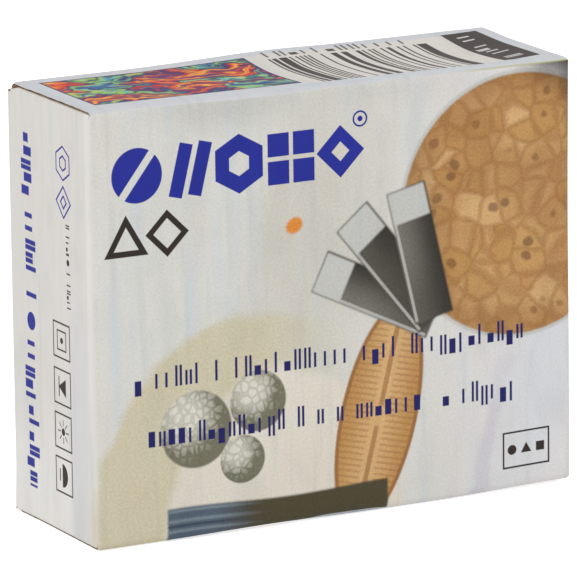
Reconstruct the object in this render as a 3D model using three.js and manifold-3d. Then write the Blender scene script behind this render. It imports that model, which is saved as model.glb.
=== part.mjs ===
// A tuck-end carton of small-fluted board that holds a stack of glass microscope slides.
// Units are millimetres. +Z is up, the printed front faces -Y and the left end faces -X.
// The origin is the centre of the carton's base.

import * as THREE from 'three';
import { mergeVertices } from 'three/addons/utils/BufferGeometryUtils.js';
import Module from 'manifold-3d';

const wasm = await Module();
wasm.setup();

// ---------------------------------------------------------------- driving dimensions

// One glass slide, and how the slides are packed.
const SLIDE_LENGTH = 76.2;
const SLIDE_WIDTH = 25.4;
const SLIDE_THICKNESS = 1.1;
const SLIDE_COUNT = 50;
const SLIDE_AIR_GAP = 0.02; // between two slides of the stack; half of it is under the lowest one
const SLIDE_FRONT_GAP = 0.3; // between the stack and the front panel
const SLIDE_REAR_GAP = 0.1; // between the stack and the bottom tuck flap
const SLIDE_END_GAP = 0.9; // between the stack and the glue tab
const HEADROOM = 6.9; // between the stack and the dust flaps over it

// The fluted board.
const BOARD = 1.5;
const LINER = 0.25; // each of the two flat sheets
const MEDIUM = 0.18; // the wavy sheet between them
const FLUTE_PITCH = 3.2;
const FLUTE_BOND = 0.5; // width over which a crest is glued to its liner
const PINCHED_BOARD = 0.5; // thickness where the cutting rule has crushed the board
const PINCH_RUN = 3; // length over which the board thins to its crushed edge
const PINCH_FADE = 0.7; // length over which the crushing dies out towards a fold

// The folded carton.
const CROWN_RADIUS = 0.4; // of the tight fold between an end panel and its dust flap
const DUST_FLAP_LENGTH = 20;
const DUST_FLAP_FRONT_GAP = 0.9;
const DUST_FLAP_TUCK_GAP = 1.3; // between a dust flap and the tuck flap behind it
const SEAM_SETBACK = 0.4; // from the back face to the right panel's cut edge
const GLUE_TAB_LENGTH = 13;
const GLUE_SINK = 0.05; // how far the bottom dust flaps bed into the panel they are glued to
const BOTTOM_TUCK_LENGTH = 13;

// The lid.
const LID_SEAT_GAP = 0.1; // under the lid, above the dust flaps
const PANEL_SIDE_INSET = 0.3; // from an end panel's outer face to the edge of the lid or base
const HINGE_GAP = 0.2; // width of the split through the hinge fold
const TUCK_WALL_GAP = 0.2; // between a tuck fold and the back panel
const TUCK_SWING_GAP = 0.15; // between the lid's tuck flap and the back panel as it swings past
const TUCK_STACK_GAP = 0.55; // between the lid's tuck flap and the top slide
const TUCK_SIDE_GAP = 0.5;
const TUCK_CORNER_RADIUS = 4;

const ARC_STEPS = 6; // facets in a quarter turn
const FLUTE_STEPS = 6; // facets along one arch of the wavy sheet

// ---------------------------------------------------------------- derived sizes

const stackHeight = SLIDE_COUNT * (SLIDE_THICKNESS + SLIDE_AIR_GAP);
const stackBase = 2 * BOARD;
const stackTop = stackBase + stackHeight;
const slideFit = SLIDE_FRONT_GAP + SLIDE_WIDTH + SLIDE_REAR_GAP;
const width = SLIDE_LENGTH + 2 * SLIDE_END_GAP + 4 * BOARD; // with a glue tab's room at each end
const depth = slideFit + TUCK_WALL_GAP + 3 * BOARD; // front, tuck flap and back
const height = stackTop + HEADROOM + LID_SEAT_GAP + 2 * BOARD;

const left = -width / 2;
const right = width / 2;
const front = -depth / 2;
const back = depth / 2;
const innerLeft = left + BOARD;
const innerRight = right - BOARD;
const innerFront = front + BOARD;
const innerBack = back - BOARD;
const panelTop = height - BOARD - LID_SEAT_GAP; // cut edge of the back panel
const foldZ = height - BOARD; // height of the lid's two fold centres
const tuckFoldY = innerBack - TUCK_WALL_GAP - BOARD; // inner corner of a tuck fold
const panelEndX = right - PANEL_SIDE_INSET;
const hingeY = front + BOARD * (1 - Math.SQRT1_2);
const hingeZ = height - BOARD * (1 - Math.SQRT1_2);

// ---------------------------------------------------------------- shape helpers

const point = (u, v) => new THREE.Vector2(u, v);

/** Points of an arc, both ends included, with angles in radians. */
function arc(centreU, centreV, radius, from, to, steps = ARC_STEPS) {
  const points = [];
  for (let i = 0; i <= steps; i++) {
    const angle = from + ((to - from) * i) / steps;
    points.push(point(centreU + radius * Math.cos(angle), centreV + radius * Math.sin(angle)));
  }
  return points;
}

/** Extrudes a plan outline upwards, from one height to another. */
function prismUp(outline, low, high) {
  const shape = new THREE.Shape(outline);
  const geometry = new THREE.ExtrudeGeometry(shape, { depth: high - low, bevelEnabled: false });
  return geometry.translate(0, 0, low);
}

/** Extrudes an outline drawn in (x, z) along +Y. */
function prismAlongY(outline, low, high) {
  const shape = new THREE.Shape(outline);
  const geometry = new THREE.ExtrudeGeometry(shape, { depth: high - low, bevelEnabled: false });
  const turn = new THREE.Matrix4().makeBasis(
    new THREE.Vector3(1, 0, 0),
    new THREE.Vector3(0, 0, 1),
    new THREE.Vector3(0, -1, 0),
  );
  return geometry.applyMatrix4(turn).translate(0, high, 0);
}

/** Extrudes an outline drawn in (y, z) along +X, with its sections at the given places. */
function prismAlongX(outline, places) {
  const shape = new THREE.Shape(outline);
  const steps = places.length - 1;
  const geometry = new THREE.ExtrudeGeometry(shape, { depth: steps, steps, bevelEnabled: false });
  const turn = new THREE.Matrix4().makeBasis(
    new THREE.Vector3(0, 1, 0),
    new THREE.Vector3(0, 0, 1),
    new THREE.Vector3(1, 0, 0),
  );
  geometry.applyMatrix4(turn);
  const position = geometry.attributes.position;
  for (let i = 0; i < position.count; i++) {
    position.setX(i, places[Math.round(position.getX(i))]);
  }
  return geometry;
}

/** Turns a closed geometry into a solid that can be cut and joined. */
function solid(geometry) {
  geometry.deleteAttribute('normal');
  geometry.deleteAttribute('uv');
  const merged = mergeVertices(geometry);
  return new wasm.Manifold(
    new wasm.Mesh({
      numProp: 3,
      vertProperties: new Float32Array(merged.attributes.position.array),
      triVerts: new Uint32Array(merged.index.array),
    }),
  );
}

/** Turns a solid back into a geometry. */
function geometryOf(body) {
  const mesh = body.getMesh();
  const geometry = new THREE.BufferGeometry();
  geometry.setAttribute('position', new THREE.BufferAttribute(mesh.vertProperties, 3));
  geometry.setIndex(new THREE.BufferAttribute(mesh.triVerts, 1));
  return geometry.toNonIndexed();
}

/** Turns a geometry drawn for the top of the carton upside down, to close its base. */
function atBottom(geometry) {
  const position = geometry.attributes.position;
  const corner = new THREE.Vector3();
  for (let i = 0; i < position.count; i += 3) {
    // Mirroring turns a triangle inside out, so its last two corners change places.
    const mirrored = [0, 2, 1].map((k) => {
      corner.fromBufferAttribute(position, i + k);
      return [corner.x, corner.y, height - corner.z];
    });
    mirrored.forEach((place, k) => position.setXYZ(i + k, ...place));
  }
  return geometry;
}

// ---------------------------------------------------------------- the board and its folds

/** The space inside the four upright folds, which rounds every piece that reaches a corner. */
function roundedPlan() {
  const outline = [
    ...arc(innerLeft, innerFront, BOARD, Math.PI, 1.5 * Math.PI),
    ...arc(innerRight, innerFront, BOARD, -0.5 * Math.PI, 0),
    ...arc(innerRight, innerBack, BOARD, 0, 0.5 * Math.PI),
    ...arc(innerLeft, innerBack, BOARD, 0.5 * Math.PI, Math.PI),
  ];
  return solid(prismUp(outline, 0, height));
}

/** One air channel of the board, between a liner and the wavy sheet. side is 1 above the wave. */
function fluteChannel(middle, side) {
  const reach = (FLUTE_PITCH - FLUTE_BOND) / 2;
  const core = BOARD / 2 - LINER;
  const points = [];
  for (let i = 0; i <= FLUTE_STEPS; i++) {
    const along = -reach + (2 * reach * i) / FLUTE_STEPS;
    const arch = (core - MEDIUM / 2) * (1 + Math.cos((2 * Math.PI * along) / FLUTE_PITCH));
    const gap = i > 0 && i < FLUTE_STEPS ? arch : 0;
    points.push(point(middle + along, side * (core - gap)));
  }
  return points;
}

/** The channels along a straight run of board, centred on its length. */
function fluteRun(length) {
  const halfPitch = FLUTE_PITCH / 2;
  const count = Math.floor((length - FLUTE_PITCH) / halfPitch) + 1;
  const first = (length - (count - 1) * halfPitch) / 2;
  return Array.from({ length: count }, (_, i) => fluteChannel(first + i * halfPitch, i % 2 ? -1 : 1));
}

/** Crushes the two cut ends of a panel towards its outer face, and leaves its folds round. */
function pinchEnds(geometry) {
  const position = geometry.attributes.position;
  const fade = (distance) => THREE.MathUtils.clamp(distance / PINCH_FADE, 0, 1);
  for (let i = 0; i < position.count; i++) {
    const drop = height - position.getZ(i);
    if (Math.abs(position.getX(i)) < panelEndX - PINCH_RUN / 2 || drop > BOARD) {
      continue;
    }
    const y = position.getY(i);
    const share = Math.min(fade(y - innerFront), fade(tuckFoldY - y));
    position.setZ(i, height - drop * (1 - share * (1 - PINCHED_BOARD / BOARD)));
  }
  return geometry;
}

/** What is cut away at one side of a tuck flap to make it narrower, with a round corner. */
function tuckNotch(side, lowest) {
  const tuckHalf = innerRight - BOARD - TUCK_SIDE_GAP;
  const radius = TUCK_CORNER_RADIUS;
  const outline = [
    point(tuckHalf - radius, lowest - BOARD),
    point(right, lowest - BOARD),
    point(right, panelTop),
    point(tuckHalf, panelTop),
    ...arc(tuckHalf - radius, lowest + radius, radius, 0, -0.5 * Math.PI),
  ];
  const handed = side > 0 ? outline : outline.map((p) => point(-p.x, p.y)).reverse();
  return prismAlongY(handed, 0, back);
}

/** Where a tuck flap of this length and lean starts, runs and ends. */
function tuckFlap(length, lean) {
  const along = point(-Math.sin(lean), -Math.cos(lean));
  const outward = point(Math.cos(lean), -Math.sin(lean));
  const place = (down, out) =>
    point(
      tuckFoldY + down * along.x + out * outward.x,
      foldZ + down * along.y + out * outward.y,
    );
  return { length, lean, place, tipInner: place(length, 0), tipOuter: place(length, BOARD) };
}

/** A panel with a tuck flap behind it, both fluted. frontFold gives the outline's front end. */
function closure(tuck, frontFold, place) {
  const panelStart = innerFront + PINCH_FADE;
  const panelEnd = tuckFoldY - PINCH_FADE;
  const outline = [
    point(panelStart, foldZ),
    point(panelEnd, foldZ),
    point(tuckFoldY, foldZ),
    tuck.tipInner,
    tuck.tipOuter,
    ...arc(tuckFoldY, foldZ, BOARD, -tuck.lean, 0.5 * Math.PI),
    ...frontFold,
  ];
  const panelFlutes = fluteRun(panelEnd - panelStart).map((channel) =>
    channel.map((p) => point(panelStart + p.x, foldZ + BOARD / 2 + p.y)),
  );
  const tuckFlutes = fluteRun(tuck.length).map((channel) =>
    channel.map((p) => tuck.place(p.x, BOARD / 2 + p.y)),
  );
  const ends = [-panelEndX, -panelEndX + PINCH_RUN, panelEndX - PINCH_RUN, panelEndX];
  const lowest = tuck.tipOuter.y;
  let body = solid(place(pinchEnds(prismAlongX(outline, ends))))
    .subtract(solid(place(tuckNotch(-1, lowest))))
    .subtract(solid(place(tuckNotch(1, lowest))));
  for (const channel of [...panelFlutes, ...tuckFlutes]) {
    const through = prismAlongX(channel, [left, ...ends, right]);
    body = body.subtract(solid(place(pinchEnds(through))));
  }
  return body;
}

// ---------------------------------------------------------------- the folded carton

/** The four panels. The back one folds into a glue tab inside the right one's cut edge. */
function walls() {
  const tabInner = innerRight - BOARD;
  const outline = [
    point(left, front),
    point(right, front),
    point(right, back - SEAM_SETBACK),
    point(innerRight, back - SEAM_SETBACK),
    ...arc(tabInner, innerBack, BOARD, 0, 0.5 * Math.PI),
    point(left, back),
  ];
  const hollow = [
    point(innerLeft, innerFront),
    point(innerRight, innerFront),
    point(innerRight, innerBack - GLUE_TAB_LENGTH),
    point(tabInner, innerBack - GLUE_TAB_LENGTH),
    point(tabInner, innerBack),
    point(innerLeft, innerBack),
  ];
  const block = solid(prismUp(outline, height - panelTop, panelTop));
  return block.subtract(solid(prismUp(hollow, 0, height)));
}

/** The front panel's share of the lid's hinge fold, up to the split. */
function hingeLip() {
  const split = HINGE_GAP / 2;
  const lastAngle = 0.75 * Math.PI + Math.asin(split / BOARD);
  const outline = [
    point(innerFront, panelTop - BOARD),
    point(innerFront, foldZ - split * Math.SQRT2),
    ...arc(innerFront, foldZ, BOARD, lastAngle, Math.PI, ARC_STEPS / 2),
    point(front, panelTop - BOARD),
  ];
  return solid(prismAlongX(outline, [left, right]));
}

/**
 * The dust flap folded in from the end of the right panel, with the sloping crown that it leaves
 * under the crushed edge of the panel over it. seat is the gap under that panel.
 */
function dustFlap(seat) {
  const slope = (BOARD - PINCHED_BOARD) / PINCH_RUN;
  const crownX = right - CROWN_RADIUS;
  const crownZ = height - PINCHED_BOARD - seat - (panelEndX - crownX) * slope;
  const freeEnd = innerRight - DUST_FLAP_LENGTH;
  const outerFace = foldZ - seat;
  const outline = [
    point(innerRight, outerFace - 2 * BOARD),
    point(right, outerFace - 2 * BOARD),
    ...arc(crownX, crownZ - CROWN_RADIUS, CROWN_RADIUS, 0, 0.5 * Math.PI),
    point(panelEndX - PINCH_RUN, outerFace),
    point(freeEnd, outerFace),
    point(freeEnd, outerFace - BOARD),
    point(innerRight, outerFace - BOARD),
  ];
  return prismAlongY(outline, innerFront + DUST_FLAP_FRONT_GAP, tuckFoldY - DUST_FLAP_TUCK_GAP);
}

/** Turns a geometry about the upright axis, from one end panel to the other. */
function atLeft(geometry) {
  const position = geometry.attributes.position;
  for (let i = 0; i < position.count; i++) {
    position.setXY(i, -position.getX(i), -position.getY(i));
  }
  return geometry.translate(0, innerFront + DUST_FLAP_FRONT_GAP + tuckFoldY - DUST_FLAP_TUCK_GAP, 0);
}

/** The base: a panel folded under from the front and glued, with its flap tucked in behind. */
function base() {
  const frontFold = [
    ...arc(innerFront, foldZ, BOARD, 0.5 * Math.PI, Math.PI),
    point(front, panelTop - BOARD),
    point(innerFront, panelTop - BOARD),
    point(innerFront, foldZ),
  ];
  return closure(tuckFlap(BOTTOM_TUCK_LENGTH, 0), frontFold, atBottom);
}

function cartonGeometry() {
  const body = walls()
    .add(hingeLip())
    .add(base())
    .add(solid(dustFlap(LID_SEAT_GAP)))
    .add(solid(atLeft(dustFlap(LID_SEAT_GAP))))
    .add(solid(atBottom(dustFlap(-GLUE_SINK))))
    .add(solid(atBottom(atLeft(dustFlap(-GLUE_SINK)))));
  return geometryOf(body.intersect(roundedPlan()));
}

// ---------------------------------------------------------------- the lid

/** The lid's tuck flap leans in just enough for its tip to clear the back panel as it swings. */
function lidTuck() {
  const reach = innerBack - TUCK_SWING_GAP - hingeY;
  const tipZ = stackTop + TUCK_STACK_GAP;
  const tipY = hingeY + Math.sqrt(reach ** 2 - (hingeZ - tipZ) ** 2);
  const length = Math.sqrt((tipY - tuckFoldY) ** 2 + (foldZ - tipZ) ** 2 - BOARD ** 2);
  const lean = Math.atan2(BOARD, length) - Math.atan2(tipY - tuckFoldY, foldZ - tipZ);
  return tuckFlap(length, lean);
}

function lidGeometry() {
  const split = HINGE_GAP / 2;
  const firstAngle = 0.75 * Math.PI - Math.asin(split / BOARD);
  const frontFold = [
    ...arc(innerFront, foldZ, BOARD, 0.5 * Math.PI, firstAngle, ARC_STEPS / 2),
    point(innerFront + split * Math.SQRT2, foldZ),
  ];
  const body = closure(lidTuck(), frontFold, (geometry) => geometry);
  return geometryOf(body.intersect(roundedPlan()));
}

// ---------------------------------------------------------------- materials

const printedBoard = () =>
  new THREE.MeshStandardMaterial({ color: 0xd6d4ce, roughness: 0.62, metalness: 0 });
const clearGlass = () =>
  new THREE.MeshStandardMaterial({
    color: 0xcfe3dc,
    roughness: 0.06,
    metalness: 0,
    transparent: true,
    opacity: 0.5,
  });

function namedMesh(name, geometry, material) {
  geometry.computeVertexNormals();
  const mesh = new THREE.Mesh(geometry, material);
  mesh.name = name;
  return mesh;
}

// ---------------------------------------------------------------- the carton of slides

const cartonOfSlides = new THREE.Group();
cartonOfSlides.add(namedMesh('carton', cartonGeometry(), printedBoard()));
cartonOfSlides.add(namedMesh('lid', lidGeometry(), printedBoard()));

const slides = new THREE.Group();
slides.position.set(0, innerFront + SLIDE_FRONT_GAP + SLIDE_WIDTH / 2, stackBase);
for (let i = 0; i < SLIDE_COUNT; i++) {
  const pane = new THREE.BoxGeometry(SLIDE_LENGTH, SLIDE_WIDTH, SLIDE_THICKNESS);
  const slide = namedMesh(`slide_${String(i + 1).padStart(2, '0')}`, pane, clearGlass());
  slide.position.z = (i + 0.5) * (SLIDE_THICKNESS + SLIDE_AIR_GAP);
  slides.add(slide);
}
cartonOfSlides.add(slides);

export default cartonOfSlides;
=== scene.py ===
"""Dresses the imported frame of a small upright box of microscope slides.

The board is cut flat, ply by ply, and bent round its folds, so that the print, the cut edges and
the fluting follow the box as they do on a real one. Sizes are in metres unless a name says mm.
"""

import logging
import math
from collections.abc import Callable, Sequence
from dataclasses import dataclass
from enum import Enum

import bmesh
import bpy
from mathutils import Matrix, Vector, noise

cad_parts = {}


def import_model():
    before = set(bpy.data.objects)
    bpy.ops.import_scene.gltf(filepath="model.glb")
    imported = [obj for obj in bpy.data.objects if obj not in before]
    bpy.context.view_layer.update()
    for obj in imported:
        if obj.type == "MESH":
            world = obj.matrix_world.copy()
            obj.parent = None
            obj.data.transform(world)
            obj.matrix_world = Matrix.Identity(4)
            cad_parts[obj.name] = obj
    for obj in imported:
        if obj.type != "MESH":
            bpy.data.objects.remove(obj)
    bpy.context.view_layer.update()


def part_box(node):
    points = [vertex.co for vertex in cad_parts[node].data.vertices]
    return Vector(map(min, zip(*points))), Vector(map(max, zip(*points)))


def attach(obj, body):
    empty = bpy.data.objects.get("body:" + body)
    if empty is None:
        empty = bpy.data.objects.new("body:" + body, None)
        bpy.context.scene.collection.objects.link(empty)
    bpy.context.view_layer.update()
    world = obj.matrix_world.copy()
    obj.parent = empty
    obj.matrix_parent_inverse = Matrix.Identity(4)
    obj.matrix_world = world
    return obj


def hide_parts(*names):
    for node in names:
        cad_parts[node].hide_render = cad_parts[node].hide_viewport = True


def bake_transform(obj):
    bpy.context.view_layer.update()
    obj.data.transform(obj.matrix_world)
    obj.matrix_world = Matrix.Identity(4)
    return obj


log = logging.getLogger("slide_box")

MM = 0.001
FRONT_FOLD = math.pi / 2
Bend = Callable[[Vector], Vector]
Place = Callable[[bmesh.types.BMVert], Sequence[float]]
Socket = bpy.types.NodeSocket
Value = "Socket | Enum | float | tuple | None"


# ---------------------------------------------------------------- small sums


def tone(red: int, green: int, blue: int) -> tuple[float, float, float, float]:
    """Turns a colour of 0 to 255 as seen on a screen into a shader's linear colour."""
    linear = [((c / 255 + 0.055) / 1.055) ** 2.4 if c > 10 else c / 3295 for c in (red, green, blue)]
    return (*linear, 1.0)


def ease(low: float, high: float, value: float) -> float:
    """Rises smoothly from 0 at low to 1 at high."""
    t = min(max((value - low) / (high - low), 0.0), 1.0)
    return t * t * (3 - 2 * t)


def hump(middle: float, width: float, value: float) -> float:
    """A smooth bump of height 1 about the middle."""
    return math.exp(-(((value - middle) / width) ** 2))


def spaced(marks: Sequence[float], step: float) -> list[float]:
    """Fills the stretches between the marks with even steps.

    Args:
        marks: Places that are kept, in order.
        step: The longest step.

    Returns:
        The marks with the steps between them.
    """
    places = [marks[0]]
    for start, end in zip(marks, marks[1:]):
        count = max(1, math.ceil((end - start) / step - 1e-9))
        places += [start + (end - start) * (i + 1) / count for i in range(count)]
    return places


# ---------------------------------------------------------------- the board


@dataclass(frozen=True)
class Board:
    """Make-up of the small-fluted board."""

    thickness: float = 1.5 * MM
    liner: float = 0.24 * MM
    medium: float = 0.16 * MM
    pitch: float = 3.2 * MM
    crushed: float = 0.55 * MM
    crush_run: float = 2.6 * MM

    @property
    def wave(self) -> float:
        """Half the height of the wavy sheet's waves."""
        return (self.thickness - 2 * self.liner - self.medium) / 2


class Ply(Enum):
    """The three sheets that the board is glued from."""

    OUTER = "outer liner"
    MEDIUM = "wavy sheet"
    INNER = "inner liner"

    def heights(self, board: Board) -> tuple[float, float]:
        """Top and bottom of the sheet, measured outwards from the board's printed face."""
        middle = -board.thickness / 2
        return {
            Ply.OUTER: (0.0, -board.liner),
            Ply.MEDIUM: (middle + board.medium / 2, middle - board.medium / 2),
            Ply.INNER: (board.liner - board.thickness, -board.thickness),
        }[self]


class FoldPath:
    """The printed face of a strip of board, followed in a plane through its flats and folds."""

    def __init__(self, start: tuple[float, float], heading: float, turn: int) -> None:
        """Starts the path.

        Args:
            start: First point of the printed face.
            heading: Direction of travel in degrees.
            turn: 1 where the folds turn left, -1 where they turn right.
        """
        self.turn = turn
        self.point = Vector(start)
        self.heading = math.radians(heading)
        self.runs: list[tuple[float, Vector, float, float]] = []
        self.length = 0.0

    def _run(self, length: float, radius: float) -> "FoldPath":
        """Adds a stretch, round where radius isn't 0."""
        self.runs.append((self.length, self.point, self.heading, radius))
        self.length += length
        self.point = self.place(self.length, 0.0)
        if radius:
            self.heading += self.turn * length / radius
        return self

    def flat(self, length: float) -> "FoldPath":
        """Adds a straight stretch."""
        return self._run(length, 0.0)

    def fold(self, degrees: float, radius: float) -> "FoldPath":
        """Adds a round fold."""
        return self._run(math.radians(degrees) * radius, radius)

    def turn_to(self, heading: float) -> "FoldPath":
        """Goes on in another direction, in degrees."""
        self.heading = math.radians(heading)
        return self

    def marks(self) -> list[float]:
        """Where each stretch starts, and the end."""
        return [run[0] for run in self.runs] + [self.length]

    def place(self, along: float, height: float) -> Vector:
        """A point of the board.

        Args:
            along: Distance along the printed face.
            height: Height above the printed face, which is negative inside the board.

        Returns:
            The point in the path's plane.
        """
        start, point, heading, radius = self.runs[0]
        for run in self.runs:
            if along >= run[0]:
                start, point, heading, radius = run
        outward = Vector((math.sin(heading), -math.cos(heading))) * self.turn
        if not radius:
            direction = Vector((math.cos(heading), math.sin(heading)))
            return point + direction * (along - start) + outward * height
        spoke = Matrix.Rotation(self.turn * (along - start) / radius, 2) @ outward
        return point - outward * radius + spoke * max(radius + height, 0.02 * MM)


def put_in_scene(name: str, data: bpy.types.ID) -> bpy.types.Object:
    """Makes an object of a mesh, a lamp or a camera and puts it in the scene."""
    made = bpy.data.objects.new(name, data)
    bpy.context.scene.collection.objects.link(made)
    return made


class SheetMap:
    """A square map on which every face of a piece has its own place."""

    gap = 0.5 * MM
    widening = 0.04
    tries = 26

    def __init__(self, mesh: bmesh.types.BMesh) -> None:
        """Starts the map of an empty mesh."""
        self.places = mesh.loops.layers.uv.new("OFBake")
        self.patches: list[list[bmesh.types.BMLoop]] = []
        self.sizes: list[Vector] = []

    def lay(self, faces: Sequence[bmesh.types.BMFace], place: Place, scale: float) -> None:
        """Adds a patch of faces that lie side by side.

        Args:
            faces: The faces.
            place: Gives the flat place of a corner, in metres.
            scale: Size of the patch on the map beside that of the front's print.
        """
        loops = [loop for face in faces for loop in face.loops]
        spots = [Vector(place(loop.vert)) * scale for loop in loops]
        low = Vector((min(spot.x for spot in spots), min(spot.y for spot in spots)))
        high = Vector((max(spot.x for spot in spots), max(spot.y for spot in spots)))
        for loop, spot in zip(loops, spots):
            loop[self.places].uv = spot - low
        self.patches.append(loops)
        self.sizes.append(high - low)

    def shelved(self, width: float) -> tuple[list[Vector], float]:
        """Stands the patches on shelves, tallest first.

        Args:
            width: Length of a shelf.

        Returns:
            Each patch's corner, and the height that the shelves fill.
        """
        corners = [Vector((0.0, 0.0)) for _ in self.sizes]
        x, y, shelf = self.gap, self.gap, 0.0
        for i in sorted(range(len(self.sizes)), key=lambda i: -self.sizes[i].y):
            size = self.sizes[i]
            if x > self.gap and x + size.x + self.gap > width:
                x, y, shelf = self.gap, y + shelf + self.gap, 0.0
            corners[i] = Vector((x, y))
            x += size.x + self.gap
            shelf = max(shelf, size.y)
        return corners, y + shelf + self.gap

    def pack(self) -> None:
        """Packs the patches as nearly square as they go, and fills the map with them."""
        widest = max(size.x for size in self.sizes) + 2 * self.gap
        widths = [widest * (1 + self.widening * i) for i in range(self.tries)]
        width = min(widths, key=lambda tried: max(tried, self.shelved(tried)[1]))
        corners, height = self.shelved(width)
        for loops, corner in zip(self.patches, corners):
            for loop in loops:
                spot = loop[self.places].uv + corner
                loop[self.places].uv = (spot.x / width, spot.y / height)


class BoardPiece:
    """Sheets of board gathered in one mesh, each cut flat and then bent into place."""

    back_scale = 0.3
    rim_scale = 0.4
    rim_widening = 7.0
    sharpest = math.radians(38)

    def __init__(self, name: str, printed: bool) -> None:
        """Starts an empty piece, with a map of its own where it is printed."""
        self.name = name
        self.mesh = bmesh.new()
        self.flat = self.mesh.verts.layers.float_vector.new("flat")
        self.map = SheetMap(self.mesh) if printed else None

    def add(
        self,
        columns: Sequence[float],
        rows: Sequence[float],
        heights: tuple[float, float],
        bend: Bend,
        blank: Bend,
        wave: Bend | None = None,
        zones: Sequence[tuple[float, float]] = ((math.inf, 1.0),),
    ) -> None:
        """Cuts a sheet flat, keeps its place on the blank on every point, and bends it.

        Args:
            columns: Places of the sheet's points across it.
            rows: Places of its points along it.
            heights: Its top and bottom above the printed face.
            bend: Gives the bent place of a flat point.
            blank: Gives the place of a flat point on the whole unfolded blank.
            wave: Moves a flat point before it is bent.
            zones: Where each stretch of the printed face ends, and its scale on the map.
        """
        first_face, first_vert = len(self.mesh.faces), len(self.mesh.verts)
        across, along = len(columns) - 1, len(rows) - 1
        bmesh.ops.create_grid(self.mesh, x_segments=across, y_segments=along, size=1.0)
        self.mesh.verts.ensure_lookup_table()
        self.mesh.faces.ensure_lookup_table()
        for vert in self.mesh.verts[first_vert:]:
            column = round((vert.co.x + 1) / 2 * across)
            row = round((vert.co.y + 1) / 2 * along)
            vert.co = (columns[column], rows[row], heights[0])
        printed = self.mesh.faces[first_face:]
        grown = bmesh.ops.extrude_face_region(self.mesh, geom=printed)["geom"]
        for vert in (g for g in grown if isinstance(g, bmesh.types.BMVert)):
            vert.co.z = heights[1]
        self.mesh.verts.ensure_lookup_table()
        self.mesh.faces.ensure_lookup_table()
        for face in self.mesh.faces[first_face:]:
            face.smooth = True
            face.material_index = 1
        for face in printed:
            face.material_index = 0
        for vert in self.mesh.verts[first_vert:]:
            vert[self.flat] = blank(vert.co)
        if self.map:
            self.map_printed(printed, zones)
            edges = ((0, columns[0]), (0, columns[-1]), (1, rows[0]), (1, rows[-1]), (2, heights[1]))
            self.map_rest([face for face in self.mesh.faces[first_face:] if face.material_index], edges)
        for vert in self.mesh.verts[first_vert:]:
            vert.co = bend(wave(vert.co) if wave else vert.co)
        bmesh.ops.recalc_face_normals(self.mesh, faces=self.mesh.faces[first_face:])

    def map_printed(
        self, faces: Sequence[bmesh.types.BMFace], zones: Sequence[tuple[float, float]]
    ) -> None:
        """Puts a flat sheet's printed face on the map.

        Args:
            faces: The printed face's faces.
            zones: Where each stretch ends, and its scale on the map.
        """
        start = -math.inf
        for end, scale in zones:
            part = [face for face in faces if start <= face.calc_center_median().x < end]
            self.map.lay(part, lambda vert: vert[self.flat].xy, scale)
            start = end

    def map_rest(self, faces: Sequence[bmesh.types.BMFace], edges: Sequence[tuple[int, float]]) -> None:
        """Puts a flat sheet's rims and its back on the map, smaller than its print.

        Args:
            faces: The faces of the rims and the back.
            edges: The axis and the place of the two side rims, the two end rims and the back.
        """
        parts: list[list[bmesh.types.BMFace]] = [[] for _ in edges]
        for face in faces:
            centre = face.calc_center_median()
            away = [abs(centre[axis] - place) for axis, place in edges]
            parts[away.index(min(away))].append(face)
        wide = self.rim_widening
        for part in parts[:2]:
            self.map.lay(part, lambda vert: (vert[self.flat].y, vert[self.flat].z * wide), self.rim_scale)
        for part in parts[2:4]:
            self.map.lay(part, lambda vert: (vert[self.flat].x, vert[self.flat].z * wide), self.rim_scale)
        self.map.lay(parts[4], lambda vert: vert[self.flat].xy, self.back_scale)

    def finish(self, materials: Sequence[bpy.types.Material]) -> bpy.types.Object:
        """Makes the object.

        Args:
            materials: The printed face's material and the cut edges' material.

        Returns:
            The object, with its mesh in the scene.
        """
        if self.map:
            self.map.pack()
        data = bpy.data.meshes.new(self.name)
        self.mesh.to_mesh(data)
        self.mesh.free()
        data.set_sharp_from_angle(angle=self.sharpest)
        for material in materials:
            data.materials.append(material)
        piece = put_in_scene(self.name, data)
        log.info("%s: %d faces", self.name, len(data.polygons))
        return piece


# ---------------------------------------------------------------- the folded box


@dataclass(frozen=True)
class BoxEnd:
    """How the board is cut, crushed and folded at one end of the box."""

    crushed: float  # thickness left at the closing panel's cut ends
    seat: float  # gap under the closing panel
    back_inset: float  # from the end of the box to the back panel's cut edge
    crown_far: float  # how far back a dust flap's fold reaches
    crown_drop: float  # how far that fold has sunk at its back end
    crown_radius: float = 0.5 * MM

    @property
    def crown_inset(self) -> float:
        """From the end of the box to where an end panel starts to fold over."""
        return self.crushed + self.seat + self.crown_radius

    def sunk(self, y: float) -> float:
        """How far a dust flap's fold has sunk at this place along the end panel."""
        return self.crown_drop * ease(self.crown_far - 2.8 * MM, self.crown_far + 0.3 * MM, y)


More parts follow.
